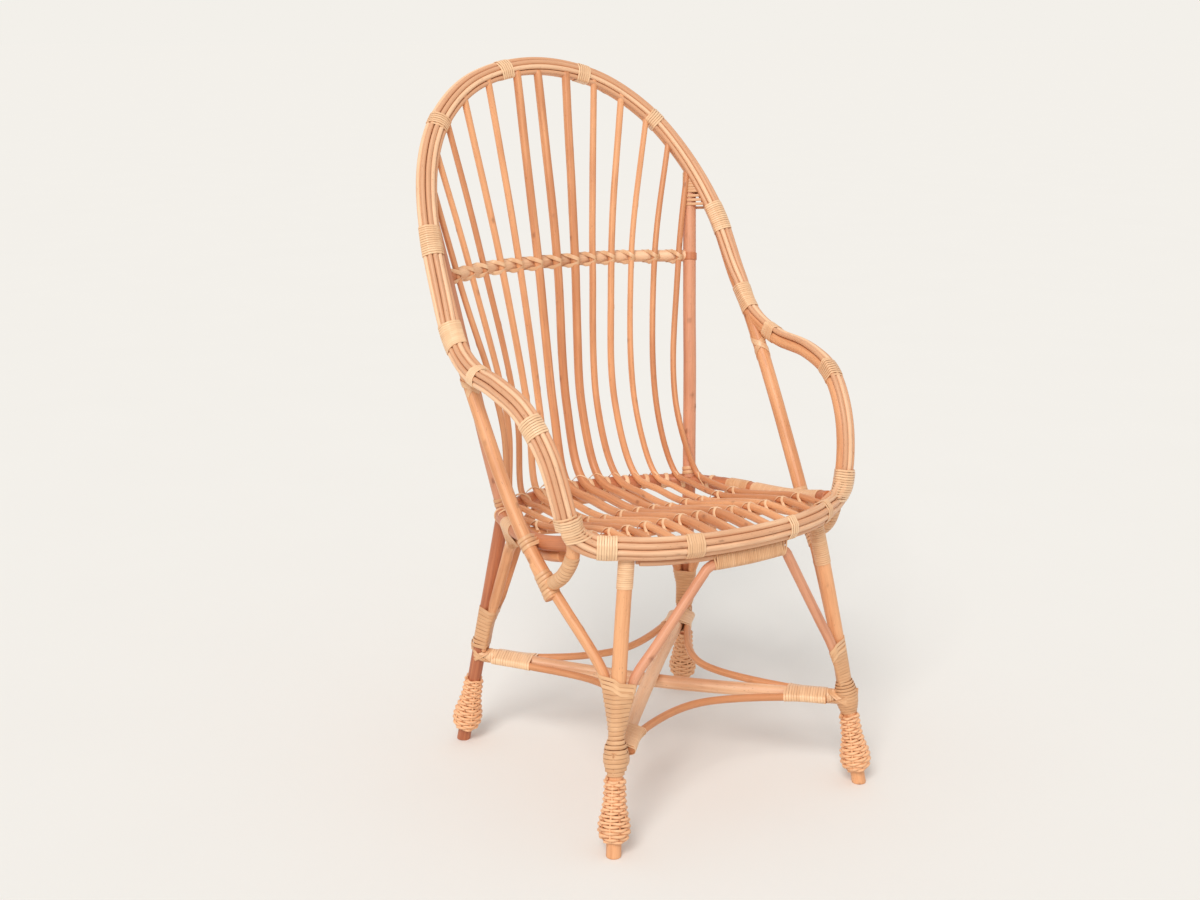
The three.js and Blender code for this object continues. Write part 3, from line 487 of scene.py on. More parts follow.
finishes = {
    "stick": bark("peeledWillow", (236, 174, 125), (208, 140, 93)),
    "warm_stick": bark("warmWillow", (206, 130, 88), (172, 98, 64)),
    "pink_stick": bark("pinkWillow", (224, 160, 124), (198, 130, 97)),
    "spindle": bark("spindleWillow", (238, 174, 124), (208, 140, 95), spread=0.25),
    "face_rod": bark("rodWillow", (244, 201, 162), (220, 165, 125), spread=0.4),
    "weave": bark("strandWillow", (244, 190, 144), (200, 136, 94), spread=0.9, rough=0.36),
}
# the last number of each is the strength of the painted shade at the strip edges
skeinWillow = palm("skeinWillow", (241, 194, 148), (219, 166, 120), 0.3)
fineSkein = palm("fineSkein", (248, 208, 166), (232, 184, 140), 0.22)
print("finishes ready")


# Seat frame

seat = {
    "front": [spot(0, -287.8, 440), spot(140, -267.8, 442), spot(240, -210.8, 448)],
    "rail": [spot(0, 168.2, 406), spot(166, 119.2, 406), spot(211, 37.2, 411), spot(233, -107.8, 422)],
    "railDiameter": 23, "frontDiameter": 23, "railEndX": 221.5, "railEndIn": 7.7, "wander": 0.6,
    "look": {"knot": 0.5, "knots": 0.05, "ripple": 0.9},
}
frontRail = Stick(bend(mirrored(seat["front"])), seat["frontDiameter"])
railEnd = crossing(frontRail.line, 0, seat["railEndX"]) + yAxis * seat["railEndIn"]
seatRail = Stick(bend(mirrored(seat["rail"] + [railEnd])), seat["railDiameter"], wander=seat["wander"])
growSticks("frontRail", [frontRail], seat["look"], "stick", ["front_rail"])
growSticks("seatRail", [seatRail], seat["look"], "warm_stick", ["seat_rail"])


# Legs

feet = {
    "front": spot(230, -302.8, 0), "rear": spot(223, 177.2, 0), "diameter": 22, "upright": 1.5,
    "frontSeatX": 175, "frontSetBack": 10.0, "frontBow": 4.5, "frontDrop": 10,
    "rearSeatX": 181, "rearDrop": 3, "look": {"knots": 0.07, "ripple": 0.9},
}


def legLine(foot, top, bow=0.0):  # upright in its first step, so that the sawn foot lies flat
    line = even(np.array([foot + (top - foot) * 0.01, top]))
    line[:, 0] += bow * np.sin(np.linspace(0, math.pi, len(line)))
    return np.vstack([foot, foot + up * feet["upright"], line])


frontTop = crossing(frontRail.line, 0, feet["frontSeatX"]) - up * feet["frontDrop"]
frontTop += squareTo(frontRail.line, feet["frontSeatX"], yAxis) * feet["frontSetBack"]
rearTop = crossing(seatRail.line, 0, feet["rearSeatX"]) - up * feet["rearDrop"]
legLines = {"front": legLine(feet["front"], frontTop, feet["frontBow"]),
            "rear": legLine(feet["rear"], rearTop)}
legs = {f"{end}_{sideName}": Stick(turn(line), feet["diameter"])
        for sideName, turn in sides.items() for end, line in legLines.items()}
for end, slot in (("front", "stick"), ("rear", "warm_stick")):
    names = [f"{end}_{sideName}" for sideName in sides]
    pair = [legs[name] for name in names]
    piece = growSticks(end + "Legs", pair, feet["look"], slot, tagged(names, "_leg"))
    for corner in piece.data.vertices:  # no ripple of a sawn foot dips into the floor
        corner.co.z = max(corner.co.z, 0.0)


def legAxis(name, z):
    line = legs[name].line
    return spot(*(np.interp(z, line[:, 2], line[:, k]) for k in range(2)), z)


# Sticks that run down into a joint are whittled thin and lie along the leg under the winding
joint = {
    "front_right": 192, "front_left": 170, "rear_right": 204, "rear_left": 204, "fit": 0.3, "reach": 240,
    # height over the joint, share of the diameter left, distance off the leg
    "front": [(62, 1.0, 4.0), (30, 0.6, 0.4), (-14, 0.12, -1.0)],
    "rear": [(52, 1.0, 2.0), (8, 0.42, 0.0), (-38, 0.42, -1.0)],
}


def jointSteps(legName):
    return joint[legName.split("_")[0]]


def intoJoint(legName, diameter, direction):
    points = []
    for height, share, away in jointSteps(legName):
        reach = (feet["diameter"] + diameter * share) / 2 + joint["fit"] + away
        points.append(legAxis(legName, joint[legName] + height) + direction * reach)
    return points


def whittled(stick, first, last):  # thins the stretches below the tops of the joints at its ends
    for legName, away in ((first, stick.run), (last, stick.length - stick.run)):
        if legName:
            heights, shares, _ = zip(*jointSteps(legName)[::-1])
            thin = np.interp(stick.line[:, 2] - joint[legName], heights, shares)
            stick.radii = np.where(away < joint["reach"], stick.radii * thin, stick.radii)
    return stick


# Back hoop and arms

back = {
    "arch": [spot(0, 310.2, 1091), spot(113, 302.2, 1069), spot(189, 272.2, 1018), spot(237, 231.2, 951),
             spot(269, 169.2, 853), spot(275, 111.2, 750), spot(275, 66.2, 690)],
    "side": spot(255.8, -107.8, 422), "hoopDiameter": 22,
    "arm": [spot(280, 3.2, 660), spot(282, -74.8, 649), spot(276, -139.8, 625), spot(265, -184.8, 573),
            spot(254, -206.8, 505), spot(240, -210.8, 438)],
    "armDiameter": 20, "tailY": -188.8, "tailZ": 396, "tailHoopZ": 368, "footHeading": spot(0.5, 0.866, 0),
    "lowerShare": 0.74, "lowerBlend": 12, "stubUp": 40, "stubDown": 20, "stubOut": 3, "look": {},
}
hoopFeet = {sideName: intoJoint("front_" + sideName, back["hoopDiameter"] * back["lowerShare"],
                                turn(back["footHeading"])) for sideName, turn in sides.items()}
hoopPoints = [*hoopFeet["right"][::-1], *mirrored(back["arch"] + [back["side"]]), *hoopFeet["left"]]
hoop = Stick(bend(hoopPoints), back["hoopDiameter"])
archFromTop = hoop.line[np.argmax(hoop.line[:, 2]):]
armTail = crossing(hoop.line, 2, back["tailHoopZ"])

# below the arm's tail the hoop goes on as a thinner stick, and the thick one ends in a stub beside it
tailAt = hoop.nearest(armTail)
stubTop, stubOut = hoop.at(tailAt - back["stubUp"]), xAxis * back["stubOut"]
stubFoot = armTail + unit(hoop.at(tailAt) - stubTop) * back["stubDown"] + stubOut
stub = even(np.array([stubTop, armTail + stubOut / 2, stubFoot]))
lower = np.clip(0.5 - (hoop.line[:, 2] - armTail[2]) / back["lowerBlend"], 0, 1)
hoop.radii *= 1 - (1 - back["lowerShare"]) * lower
hoop = whittled(hoop, "front_right", "front_left")
stubs = {sideName: Stick(turn(stub), back["hoopDiameter"]) for sideName, turn in sides.items()}
growSticks("backHoop", [hoop, *stubs.values()], back["look"], "stick", ["back_hoop"])

armTurn = spot((back["arm"][-1][0] + armTail[0]) / 2, back["tailY"], back["tailZ"])
armPoints = [back["arch"][-1], *back["arm"], armTurn, armTail]
armCores = {sideName: Stick(bend([turn(p) for p in armPoints]), back["armDiameter"])
            for sideName, turn in sides.items()}
growSticks("armCores", armCores.values(), back["look"], "stick", tagged(sides, "_arm_core"))


# Thin rods side by side over the arch and the arms, and over the front rail

rods = {
    "faceCount": 5, "faceDiameter": 7.4, "rimCount": 4, "rimDiameter": 9, "gap": 0.6, "swell": 0.4,
    "archEye": spot(0, 637.2, 780), "archSpread": (0.15, 0.6), "spreadZ": (850, 1000), "wander": 0.3,
    "armEye": spot(100, -32.8, 450), "armY": 3.2, "archY": 169.2, "faceCut": 9, "rimBend": 218,
    "rimStep": 40, "rimFoot": (464, 488), "under": (-160, 84), "underDrop": 23.8, "underDiameter": 9,
    "look": {"sides": 12, "knot": 0.4, "knots": 0.05, "ripple": 0.35},
}


def fanned(line, middles, radius, angle):
    slope = tangents(line)
    middles = unit(middles - slope * np.sum(middles * slope, axis=1)[:, None])
    across = np.cross(slope, middles)
    return line + radius * (math.cos(angle) * middles + math.sin(angle) * across)


def fan(line, middles, coreDiameter, rodDiameter, count):
    radius = (coreDiameter + rodDiameter) / 2
    angle = 2 * math.asin((rodDiameter + rods["gap"]) / 2 / radius)
    turns = (np.arange(count) - (count - 1) / 2) * angle
    thick = rodDiameter + rods["swell"]
    return [Stick(fanned(line, middles, radius, turn), thick, wander=rods["wander"]) for turn in turns]


def growRods(name, sticks, nodeName):
    nodes = [f"{nodeName}_{k + 1}" for k in range(len(sticks))]
    growSticks(name, sticks, rods["look"], "face_rod", nodes)


faceLine = bend(mirrored(back["arch"] + back["arm"]))
fromArch = faceLine - rods["archEye"]
fromArch[:, 0] *= np.interp(faceLine[:, 2], rods["spreadZ"], rods["archSpread"])
fromArch = unit(fromArch)
fromArm = unit(faceLine - np.where(faceLine[:, :1] < 0, flip(rods["armEye"]), rods["armEye"]))
blend = np.clip((faceLine[:, 1] - rods["armY"]) / (rods["archY"] - rods["armY"]), 0, 1)
blend = (blend * blend * (3 - 2 * blend))[:, None]
middles = fromArm + (fromArch - fromArm) * blend
inner = slice(rods["faceCut"], -rods["faceCut"])
faceRods = fan(faceLine[inner], middles[inner], back["hoopDiameter"], rods["faceDiameter"],
               rods["faceCount"])
growRods("faceRods", faceRods, "face_rod")

# the rim rods turn up along the arms
armFoot = [crossing(armCores["left"].line, 2, z) for z in rods["rimFoot"]]
alongRail = even(within(frontRail.line, -rods["rimBend"], rods["rimBend"]), rods["rimStep"])
rimLine = bend([*(flip(p) for p in armFoot[::-1]), *alongRail, *armFoot])
forward = np.broadcast_to(-yAxis, rimLine.shape)
rimRods = fan(rimLine, forward, seat["frontDiameter"], rods["rimDiameter"], rods["rimCount"])
growRods("rimRods", rimRods, "rim_rod")
underLine = even(within(frontRail.line, *rods["under"])) - up * rods["underDrop"]
underRods = [Stick(underLine + yAxis * behind, rods["underDiameter"])
             for behind in (0, rods["underDiameter"] + rods["gap"])]
growSticks("underRimRod", underRods, rods["look"], "face_rod", ["under_rim_rod"])


# Back posts and cross bar

posts = {"diameter": 22, "seatX": 181, "lift": 5.75, "hoopReach": {"right": 365.5, "left": 341.5},
         "wander": 0.8, "look": {"knot": 0.8, "knots": 0.12}}
bar = {"points": [spot(0, 251.2, 779), spot(120, 239.2, 779)], "diameter": 18, "cover": 1.0,
       "collar": 6.5, "collarSwell": 2.6, "tip": (4, 22), "tipSwell": 3,
       "look": {"sides": 18, "knot": 0.0, "knots": 0.0, "ripple": 0.5}}
barZ = bar["points"][0][2]
postLow = crossing(seatRail.line, 0, posts["seatX"]) + up * posts["lift"]
backPosts, barEnds = {}, {}
for sideName, turn in sides.items():
    postHigh = pointAt(archFromTop, posts["hoopReach"][sideName])
    postLine = turn(even(np.array([postLow, postHigh])))
    backPosts[sideName] = Stick(postLine, posts["diameter"], wander=posts["wander"])
    barEnds[sideName] = crossing(postLine, 2, barZ)
growSticks("backPosts", backPosts.values(), posts["look"], "pink_stick", tagged(sides, "_back_post"))
crossBar = Stick(bend([barEnds["right"], *mirrored(bar["points"]), barEnds["left"]]), bar["diameter"])
coveredBar = Stick(crossBar.line, bar["diameter"] + 2 * bar["cover"])
growSticks("crossBar", [coveredBar], bar["look"], "stick", ["back_cross_bar"], finishes["face_rod"])
middle = backPosts["left"].nearest(barEnds["left"])
collarLine = even(backPosts["left"].at((middle - bar["collar"], middle + bar["collar"])))
collar = Stick(collarLine, posts["diameter"] + bar["collarSwell"])
barTip = Stick(even(crossBar.at(bar["tip"])), bar["diameter"] + bar["tipSwell"])
growSticks("barEnds", [collar, barTip], bar["look"], "warm_stick", [])


# Seat slats: flat laths bent between the side rails, with the y and the sag of each

slats = {"width": 28, "thickness": 7, "steps": 90, "rows": {"middle": (-17.8, 16), "front": (-180.8, 5)}}


def slatTop(name, x):
    y, sag = slats["rows"][name]
    end = crossing(seatRail.line, 1, y)
    return spot(x, y, end[2] + slats["thickness"] / 2 - sag * (1 - (x / end[0]) ** 2))


def slatLine(name):
    half = crossing(seatRail.line, 1, slats["rows"][name][0])[0]
    tops = np.array([slatTop(name, x) for x in np.linspace(-half, half, slats["steps"])])
    path = tops - up * slats["thickness"] / 2
    return {"path": path, "thick": 1.0, "tone": dice.uniform(), "outward": np.cross(tangents(path), yAxis)}


slatLines = [slatLine(name) for name in slats["rows"]]
growFlat("seatSlats", slatLines, slats["width"], slats["thickness"],
         tagged(slats["rows"], "_seat_slat"), finishes["stick"])


# Spindles: from the front rail over the slats, up inside the rear rail and before the bar to the hoop

spindle = {
    "perSide": 6, "diameters": [14.5, 14.5, 11.5, 11.5, 10, 10, 10], "hoopPitch": 54, "rightShift": 20,
    "barPitch": 35, "railPitch": 33, "railRise": 2, "middlePitch": 31, "frontPitch": 32.5, "bendZ": 540,
    "bulge": 23, "bulgeTurn": math.radians(80), "dipY": 69.2, "dipRise": 1, "fit": 0.3, "tipOut": 12.0,
    "tipHeading": spot(0, -0.98, -0.16), "tipUp": 7, "tipEase": 3, "barShift": 5, "barEase": 4,
    "outerIn": 7, "taper": 0.03, "wander": 0.9, "look": {"sides": 16, "knot": 0.6, "knots": 0.09},
}


def spindleStick(order):
    place, last = abs(order), spindle["perSide"]
    diameter = spindle["diameters"][place]
    gap = diameter / 2 + spindle["fit"]
    front = crossing(frontRail.line, 0, place * spindle["frontPitch"])
    overX = place * (spindle["frontPitch"] + spindle["middlePitch"]) / 2
    overFront = slatTop("front", overX) + up * gap
    overMiddle = slatTop("middle", place * spindle["middlePitch"]) + up * gap

    outerIn = spindle["outerIn"] if order == last else 0  # the last on the left stands further in
    railX = place * spindle["railPitch"] - outerIn
    inward = unit(squareTo(seatRail.line, railX, -yAxis) + up * spindle["railRise"])
    atRail = crossing(seatRail.line, 0, railX) + inward * (seat["railDiameter"] / 2 + gap)
    share = (spindle["dipY"] - overMiddle[1]) / (atRail[1] - overMiddle[1])
    dip = overMiddle + (atRail - overMiddle) * share
    dip[2] = overMiddle[2] + spindle["dipRise"]

    beforeBar = crossing(crossBar.line, 0, place * spindle["barPitch"])
    beforeBar -= yAxis * (bar["diameter"] / 2 + gap)
    share = (spindle["bendZ"] - atRail[2]) / (beforeBar[2] - atRail[2])
    turn = place / last * spindle["bulgeTurn"]
    lowBack = atRail + (beforeBar - atRail) * share
    lowBack += (spindle["bulge"] + outerIn) * spot(-math.sin(turn), math.cos(turn), 0)
    shift = spindle["rightShift"] * (1 - place / last) if order < 0 else 0
    top = pointAt(archFromTop, place * spindle["hoopPitch"] - shift)
    top += spindle["tipHeading"] * spindle["tipOut"]
    beforeBar[0] -= math.copysign(spindle["barShift"], order) * min(1, place / spindle["barEase"])
    top += unit(top - beforeBar) * spindle["tipUp"] * min(1, place / spindle["tipEase"])
    points = [front, overFront, overMiddle, dip, atRail, lowBack, beforeBar, top]
    line = bend([flip(p) if order < 0 else p for p in points])
    return Stick(line, diameter, spindle["taper"], spindle["wander"])


spindles = [spindleStick(order) for order in range(-spindle["perSide"], spindle["perSide"] + 1)]
growSticks("spindles", spindles, spindle["look"], "spindle",
           [f"spindle_{k + 1:02d}" for k in range(len(spindles))], ends=("sawn", "round"))


# Braces from the leg joints up to the seat frame

braces = {
    "front": {"diameter": 15, "cornerX": 70, "drop": 35.6, "bendReach": 7, "shift": 14},
    "rear": {"diameter": 18, "cornerX": 112, "drop": 20.8, "bendReach": 26, "shift": 0},
    "side": {"diameter": 18, "drop": 20.8, "bendReach": 26, "inset": 9, "rearY": 29.2, "frontY": -150.8},
    "frontTurn": math.radians(28), "look": {"sides": 18, "knot": 0.6, "ripple": 0.9},
}


def straightTo(corner, ends, bendReach):  # from a bend straight on to a joint
    down = unit(ends[0] - corner) * bendReach
    first = corner + down
    return [first, first + down, *(first + (ends[0] - first) * share for share in (0.4, 0.7)), *ends]


def crossBrace(end, rail, heading):
    sizes = braces[end]
    reach = sizes["bendReach"]
    halves = []
    for sign, (sideName, turn) in zip((-1, 1), sides.items()):
        places = (0, sizes["cornerX"] - 2 * reach, sizes["cornerX"] - reach, sizes["cornerX"])
        under = [crossing(rail.line, 0, sign * x + sizes["shift"]) - up * sizes["drop"] for x in places]
        foot = intoJoint(f"{end}_{sideName}", sizes["diameter"], turn(heading))
        halves.append([*under[:3], *straightTo(under[3], foot, reach)])
    line = bend(halves[0][:0:-1] + halves[1])
    return whittled(Stick(line, sizes["diameter"]), end + "_right", end + "_left")


def sideLine():
    sizes = braces["side"]
    places = (sizes["frontY"], seat["rail"][-1][1], sizes["rearY"] - sizes["bendReach"], sizes["rearY"])
    under = [crossing(seatRail.line, 1, y) - spot(sizes["inset"], 0, sizes["drop"]) for y in places]
    foot = intoJoint("rear_left", sizes["diameter"], -yAxis)
    return [*under[:3], *straightTo(under[3], foot, sizes["bendReach"])]


frontHeading = spot(-math.cos(braces["frontTurn"]), -math.sin(braces["frontTurn"]), 0)
frontBrace = crossBrace("front", frontRail, frontHeading)
rearBrace = crossBrace("rear", seatRail, -xAxis)
sideBraces = {}
for sideName, turn in sides.items():
    stick = Stick(bend([turn(p) for p in sideLine()]), braces["side"]["diameter"])
    sideBraces[sideName] = whittled(stick, None, "rear_" + sideName)
growSticks("frontBrace", [frontBrace], braces["look"], "pink_stick", ["front_brace"])
growSticks("braces", [rearBrace, *sideBraces.values()], braces["look"], "stick",
           ["rear_brace", *tagged(sides, "_side_brace")])


# Stretchers cross under the seat, and bows spring from one stretcher end to the next

stretch = {
    "frontZ": 140, "rearZ": 157, "rise": 10.15, "diameter": 20, "swell": 1.6, "inset": 8.8, "fit": 0.3,
    "bowDiameter": 12, "legGap": 30, "straight": 88, "spread": 3, "middleY": -62.8, "wander": 0.5,
    "bows": {"front": ("front_right", "front_left", 0, -184.8),  # from, to, x and y of the middle
             "left": ("front_left", "rear_left", 92, -62.8),
             "rear": ("rear_left", "rear_right", 0, 45.2),
             "right": ("rear_right", "front_right", -92, -62.8)},
    "look": {"sides": 18, "knots": 0.10},
    "bowLook": {"sides": 14, "knot": 0.4, "knots": 0.05, "ripple": 0.5},
}
stretchers, stretcherEnds = [], {}
for frontLeg, rearLeg, sign in (("front_left", "rear_right", -1), ("front_right", "rear_left", 1)):
    first, last = legAxis(frontLeg, stretch["frontZ"]), legAxis(rearLeg, stretch["rearZ"])
    crossed = first + (last - first) * first[0] / (first[0] - last[0]) + up * stretch["rise"] * sign
    ends = [end + unit(crossed - end) * stretch["inset"] for end in (first, last)]
    stick = Stick(bend([ends[0], crossed, ends[1]]), stretch["diameter"] + stretch["swell"])
    stretchers.append(stick)
    stretcherEnds |= {frontLeg: (first, crossed, stick), rearLeg: (last, crossed, stick)}
# the stretchers take the paler rod finish, painted light that stands in for the sun falling on them
growSticks("stretchers", stretchers, stretch["look"], "stick",
           ["front_left_stretcher", "front_right_stretcher"], finishes["face_rod"])


def besideStretcher(legName, towards, along, spread):
    end, far, _ = stretcherEnds[legName]
    inward = unit(far - end)
    beside = unit(spot(-inward[1], inward[0], 0))
    if beside @ (towards - yAxis * stretch["middleY"]) < 0:
        beside = -beside
    reach = (stretch["diameter"] + stretch["bowDiameter"]) / 2 + stretch["fit"] + spread
    return end + inward * along + beside * reach


def bow(first, last, x, y):
    apex = spot(x, y, 0)
    pairs = []
    for along, spread in ((stretch["legGap"], 0), (stretch["straight"], stretch["spread"])):
        pairs.append([besideStretcher(name, apex, along, spread) for name in (first, last)])
    (start, end), (near, far) = pairs
    apex[2] = (near[2] + far[2]) / 2
    return Stick(bend([start, near, apex, far, end]), stretch["bowDiameter"], wander=stretch["wander"])


bows = {name: bow(*row) for name, row in stretch["bows"].items()}
growSticks("bows", bows.values(), stretch["bowLook"], "stick", tagged(bows, "_bow"))
print("sticks made")


# Skein wound round a bundle of sticks

skein = {"steps": 26, "pitch": 1.04, "lift": 0.55, "reach": 60, "tuck": 10, "sink": 1.2, "sway": 0.15,
         "ahead": 3, "thickness": 1.1}


def sections(bundle, origin, axis):  # where the bundle's sticks cross a plane
    found = []
    for stick in bundle:
        away = norm(stick.line - origin, axis=1)
        height = (stick.line - origin) @ axis
        crossed = (height[:-1] * height[1:] <= 0) & (height[:-1] != height[1:])
        change = np.nonzero(crossed & (away[:-1] < skein["reach"]))[0]
        if len(change):
            i = change[np.argmin(away[change])]
            share = height[i] / (height[i] - height[i + 1])
            centre = stick.line[i] + (stick.line[i + 1] - stick.line[i]) * share - origin
            found.append((centre, stick.radii[i]))
    return found


def wind(bundle, axisStick, start, end, width, turns=None, phase=0.0, lift=skein["lift"]):
    turns = turns or max(1, round((end - start - width) / (width * skein["pitch"])))
    count = int(abs(turns) * skein["steps"])
    heading = unit(axisStick.at(end) - axisStick.at(start))
    guide = up if abs(heading[2]) < 0.7 else xAxis
    drift = sway(count + 1, skein["sway"], int(abs(turns)) + 2)
    path, outward = [], []
    for i in range(count + 1):
        share = i / count
        along = start + width / 2 + (end - start - width) * share + drift[i]
        origin = axisStick.at(along)
        axis = unit(axisStick.at(along + skein["ahead"]) - axisStick.at(along - skein["ahead"]))
        side = unit(guide - axis * (guide @ axis))
        angle = phase + 2 * math.pi * turns * share
        out = side * math.cos(angle) + np.cross(axis, side) * math.sin(angle)
        found = sections(bundle, origin, axis)
        if found:
            centre, radius = max(found, key=lambda item: item[0] @ out + item[1])
            tucked = max(0.0, 1 - min(i, count - i) / skein["tuck"]) * skein["sink"]
            path.append(origin + centre + out * (radius + lift - tucked))
            outward.append(out)
    return {"path": np.array(path), "outward": np.array(outward), "thick": 1.0, "tone": dice.uniform()}


def bind(bundle, axisStick, middle, length, width, turns=None):
    return wind(bundle, axisStick, middle - length / 2, middle + length / 2, width, turns)


def growSkein(name, lines, width, nodes=(), material=fineSkein):
    growFlat(name, lines, width, skein["thickness"], nodes, material)


def legStretch(name, low, high):  # distances along a leg at two heights
    leg = legs[name]
    return low / leg.line[-1][2] * leg.length, high / leg.line[-1][2] * leg.length


def thickening(name, low, high, radius, count=13):  # a swelling on a leg, where a stretcher is nailed on
    lump = Stick([legAxis(name, z) for z in np.linspace(low, high, count)], 2 * radius)
    bare = feet["diameter"] / 2
    lump.radii = bare + (radius - bare) * np.sin(np.linspace(0, math.pi, count))
    return lump


jointWrap = {"width": 6.2, "fine": {"front_left": 0.75}, "frontUp": 55, "frontLow": 113, "rearUp": 42,
             "rearLow": 170, "lump": 17.2, "lumpBelow": 25, "lumpAbove": 27}
jointLines = []
for name, leg in legs.items():
    end, sideName = name.split("_")
    z = stretcherEnds[name][0][2]
    lump = thickening(name, z - jointWrap["lumpBelow"], z + jointWrap["lumpAbove"], jointWrap["lump"])
    tops = [hoop, frontBrace] if end == "front" else [sideBraces[sideName], rearBrace]
    reach = legStretch(name, jointWrap[end + "Low"], joint[name] + jointWrap[end + "Up"])
    fine = jointWrap["fine"].get(name, 1.0)
    jointLines.append(wind([leg, lump, *tops], leg, *reach, jointWrap["width"] * fine) | {"thick": fine})
growSkein("jointWindings", jointLines, jointWrap["width"], tagged(legs, "_joint_winding"), skeinWillow)

apron = {"width": 3.1, "length": 134, "sideWidth": 5.2, "sideAt": 228, "sideLength": 52}
apronMiddle = crossing(frontRail.line, 0, braces["front"]["shift"]) - up * braces["front"]["drop"]
apronLine = bind([frontBrace, *underRods], frontBrace, frontBrace.nearest(apronMiddle), apron["length"],
                 apron["width"])
growSkein("apronWinding", [apronLine], apron["width"], ["front_apron_winding"], skeinWillow)
sideAt = {"right": apron["sideAt"], "left": seatRail.length - apron["sideAt"]}
sideLines = [bind([seatRail, sideBraces[key]], seatRail, middle, apron["sideLength"], apron["sideWidth"])
             for key, middle in sideAt.items()]
growSkein("sideApronWindings", sideLines, apron["sideWidth"], material=skeinWillow)

stretcherWrap = {"width": 4.0, "start": 2.2, "length": 86}
stretcherLines = []
for name, (_, _, stick) in stretcherEnds.items():
    middle = stretcherWrap["start"] + stretcherWrap["length"] / 2
    if name.startswith("rear"):
        middle = stick.length - middle
    bundle = [stick, *(bows[bowName] for bowName, row in stretch["bows"].items() if name in row)]
    stretcherLines.append(bind(bundle, stick, middle, stretcherWrap["length"], stretcherWrap["width"]))
growSkein("stretcherWindings", stretcherLines, stretcherWrap["width"],
          tagged(stretcherEnds, "_stretcher_winding"))


# Bindings over the rods: middle along the line and length of each
bands = {
    "width": 3.5,
    "arch": [(446, 50), (604, 50), (821, 27), (993, 27), (1141, 27), (1289, 27), (1491, 54), (1640, 52)],
    "right": [(36, 40), (184, 32), (340, 27)],
    "left": [(2075, 52), (1890, 34), (1728, 28)],
    "rim": [(49, 33), (172, 31), (343, 19), (433, 19)],
}
spine = Stick(faceLine, back["hoopDiameter"])
bundles = {"arch": ([*faceRods, hoop], spine)}
bundles |= {sideName: ([*faceRods, *rimRods, arm], spine) for sideName, arm in armCores.items()}
bundles["rim"] = ([*rimRods, frontRail], frontRail)
bandLines = [bind(*bundle, *mark, bands["width"]) for key, bundle in bundles.items() for mark in bands[key]]
growSkein("rodBindings", bandLines, bands["width"])

# Two broad strips cross below the kink of hoop and arm
kink = {"place": spot(272, 36, 640), "reach": 25, "width": 9.0, "lift": 1.15, "turns": (0.7, -0.7),
        "phases": {"right": (3.2, 5.2), "left": (0.0, 4.4)}}
kinkLines = []
for sideName, turn in sides.items():
    middle = hoop.nearest(turn(kink["place"]))
    for turns, phase in zip(kink["turns"], kink["phases"][sideName]):
        kinkLines.append(wind([hoop], hoop, middle - kink["reach"], middle + kink["reach"], kink["width"],
                              turns, phase, kink["lift"]))
growSkein("kinkStrips", kinkLines, kink["width"])


# Wraps at leg tops, post feet and arm tails, where the hoop passes the rail, and along the rail's left
wraps = {
    "width": 6.0, "topWidth": 3.0, "legTop": {"front_right": (30, 52), "front_left": (42, 76)},
    "hoopAtRail": 26, "tail": 44, "postFoot": (12, 20), "armTail": (53, 78), "rail": (108, 180),
    "railWidth": 3.3, "web": 4.6, "webFrom": 482, "webEnd": 3, "loose": (471, 26), "looseTurns": 3,
}
topLines = [bind([legs[name]], legs[name], legs[name].length - away, length, wraps["topWidth"])
            for name, (away, length) in wraps["legTop"].items()]
growSkein("legTopWraps", topLines, wraps["topWidth"])
wrapLines = []
for sideName, turn in sides.items():
    arm, post = armCores[sideName], backPosts[sideName]
    away, length = wraps["armTail"]
    rows = [([hoop, seatRail], hoop, hoop.nearest(turn(back["side"])), wraps["hoopAtRail"]),
            ([hoop, arm, stubs[sideName]], hoop, hoop.nearest(turn(armTail)), wraps["tail"]),
            ([post], post, *wraps["postFoot"]), ([arm], arm, arm.length - away, length)]
    wrapLines += [bind(*row, wraps["width"]) for row in rows]
growSkein("frameWraps", wrapLines, wraps["width"], material=skeinWillow)

away, length = wraps["rail"]
railLine = bind([seatRail], seatRail, seatRail.length - away, length, wraps["railWidth"])
growSkein("railWraps", [railLine], wraps["railWidth"])

webLines = []  # between the post tops and the hoop
for post in backPosts.values():
    webLines.append(wind([post, hoop], post, wraps["webFrom"], post.length - wraps["webEnd"], wraps["web"]))
    webLines.append(bind([post, hoop], post, *wraps["loose"], wraps["web"], wraps["looseTurns"]))
growSkein("postWebs", webLines, wraps["web"], material=skeinWillow)


# Lashings where stretchers meet the legs, and where spindles cross the bar, the slats and the rear rail

# a row of a strap: a start, the way from it along three axes, and the side that faces out
def strap(axes, rows, step=2.0):
    path = bend([start + np.dot(way, axes) for start, way, _ in rows], step)
    share, given = np.linspace(0, 1, len(path)), np.linspace(0, 1, len(rows))
    faces = np.array([np.dot(face, axes) for _, _, face in rows])
    outward = unit(np.stack([np.interp(share, given, faces[:, k]) for k in range(3)], axis=1))
    return {"path": path, "outward": outward, "thick": 1.0, "tone": dice.uniform()}


def thereAndBack(rows, signs):  # half the rows, and back again with some axes turned round
    signs = np.array(signs)
    return rows + [(start, way * signs, face * signs) for start, way, face in rows[-2::-1]]


def axesAt(carrier, crosser, along, sign=1):  # out over a crossing, to its side and along the carrier
    out = unit(crosser - carrier - along * ((crosser - carrier) @ along))
    return out, np.cross(along, out) * sign, along


def lash(carrier, crosser, along, depth, half, radius, reach):  # a diagonal over one crossing
    rows = [(carrier, (-depth * 0.9, 0, -reach), (-1, 0, 0)),
            (carrier, (0, -half, -reach * 0.95), (0, -1, 0)),
            (crosser, (radius * 0.66, -half * 0.5, -radius * 0.75), (1, 0, -0.6)),
            (crosser, (radius, 0, 0), (1, 0, 0))]
    return strap(axesAt(carrier, crosser, along), thereAndBack(rows, (1, -1, -1)))


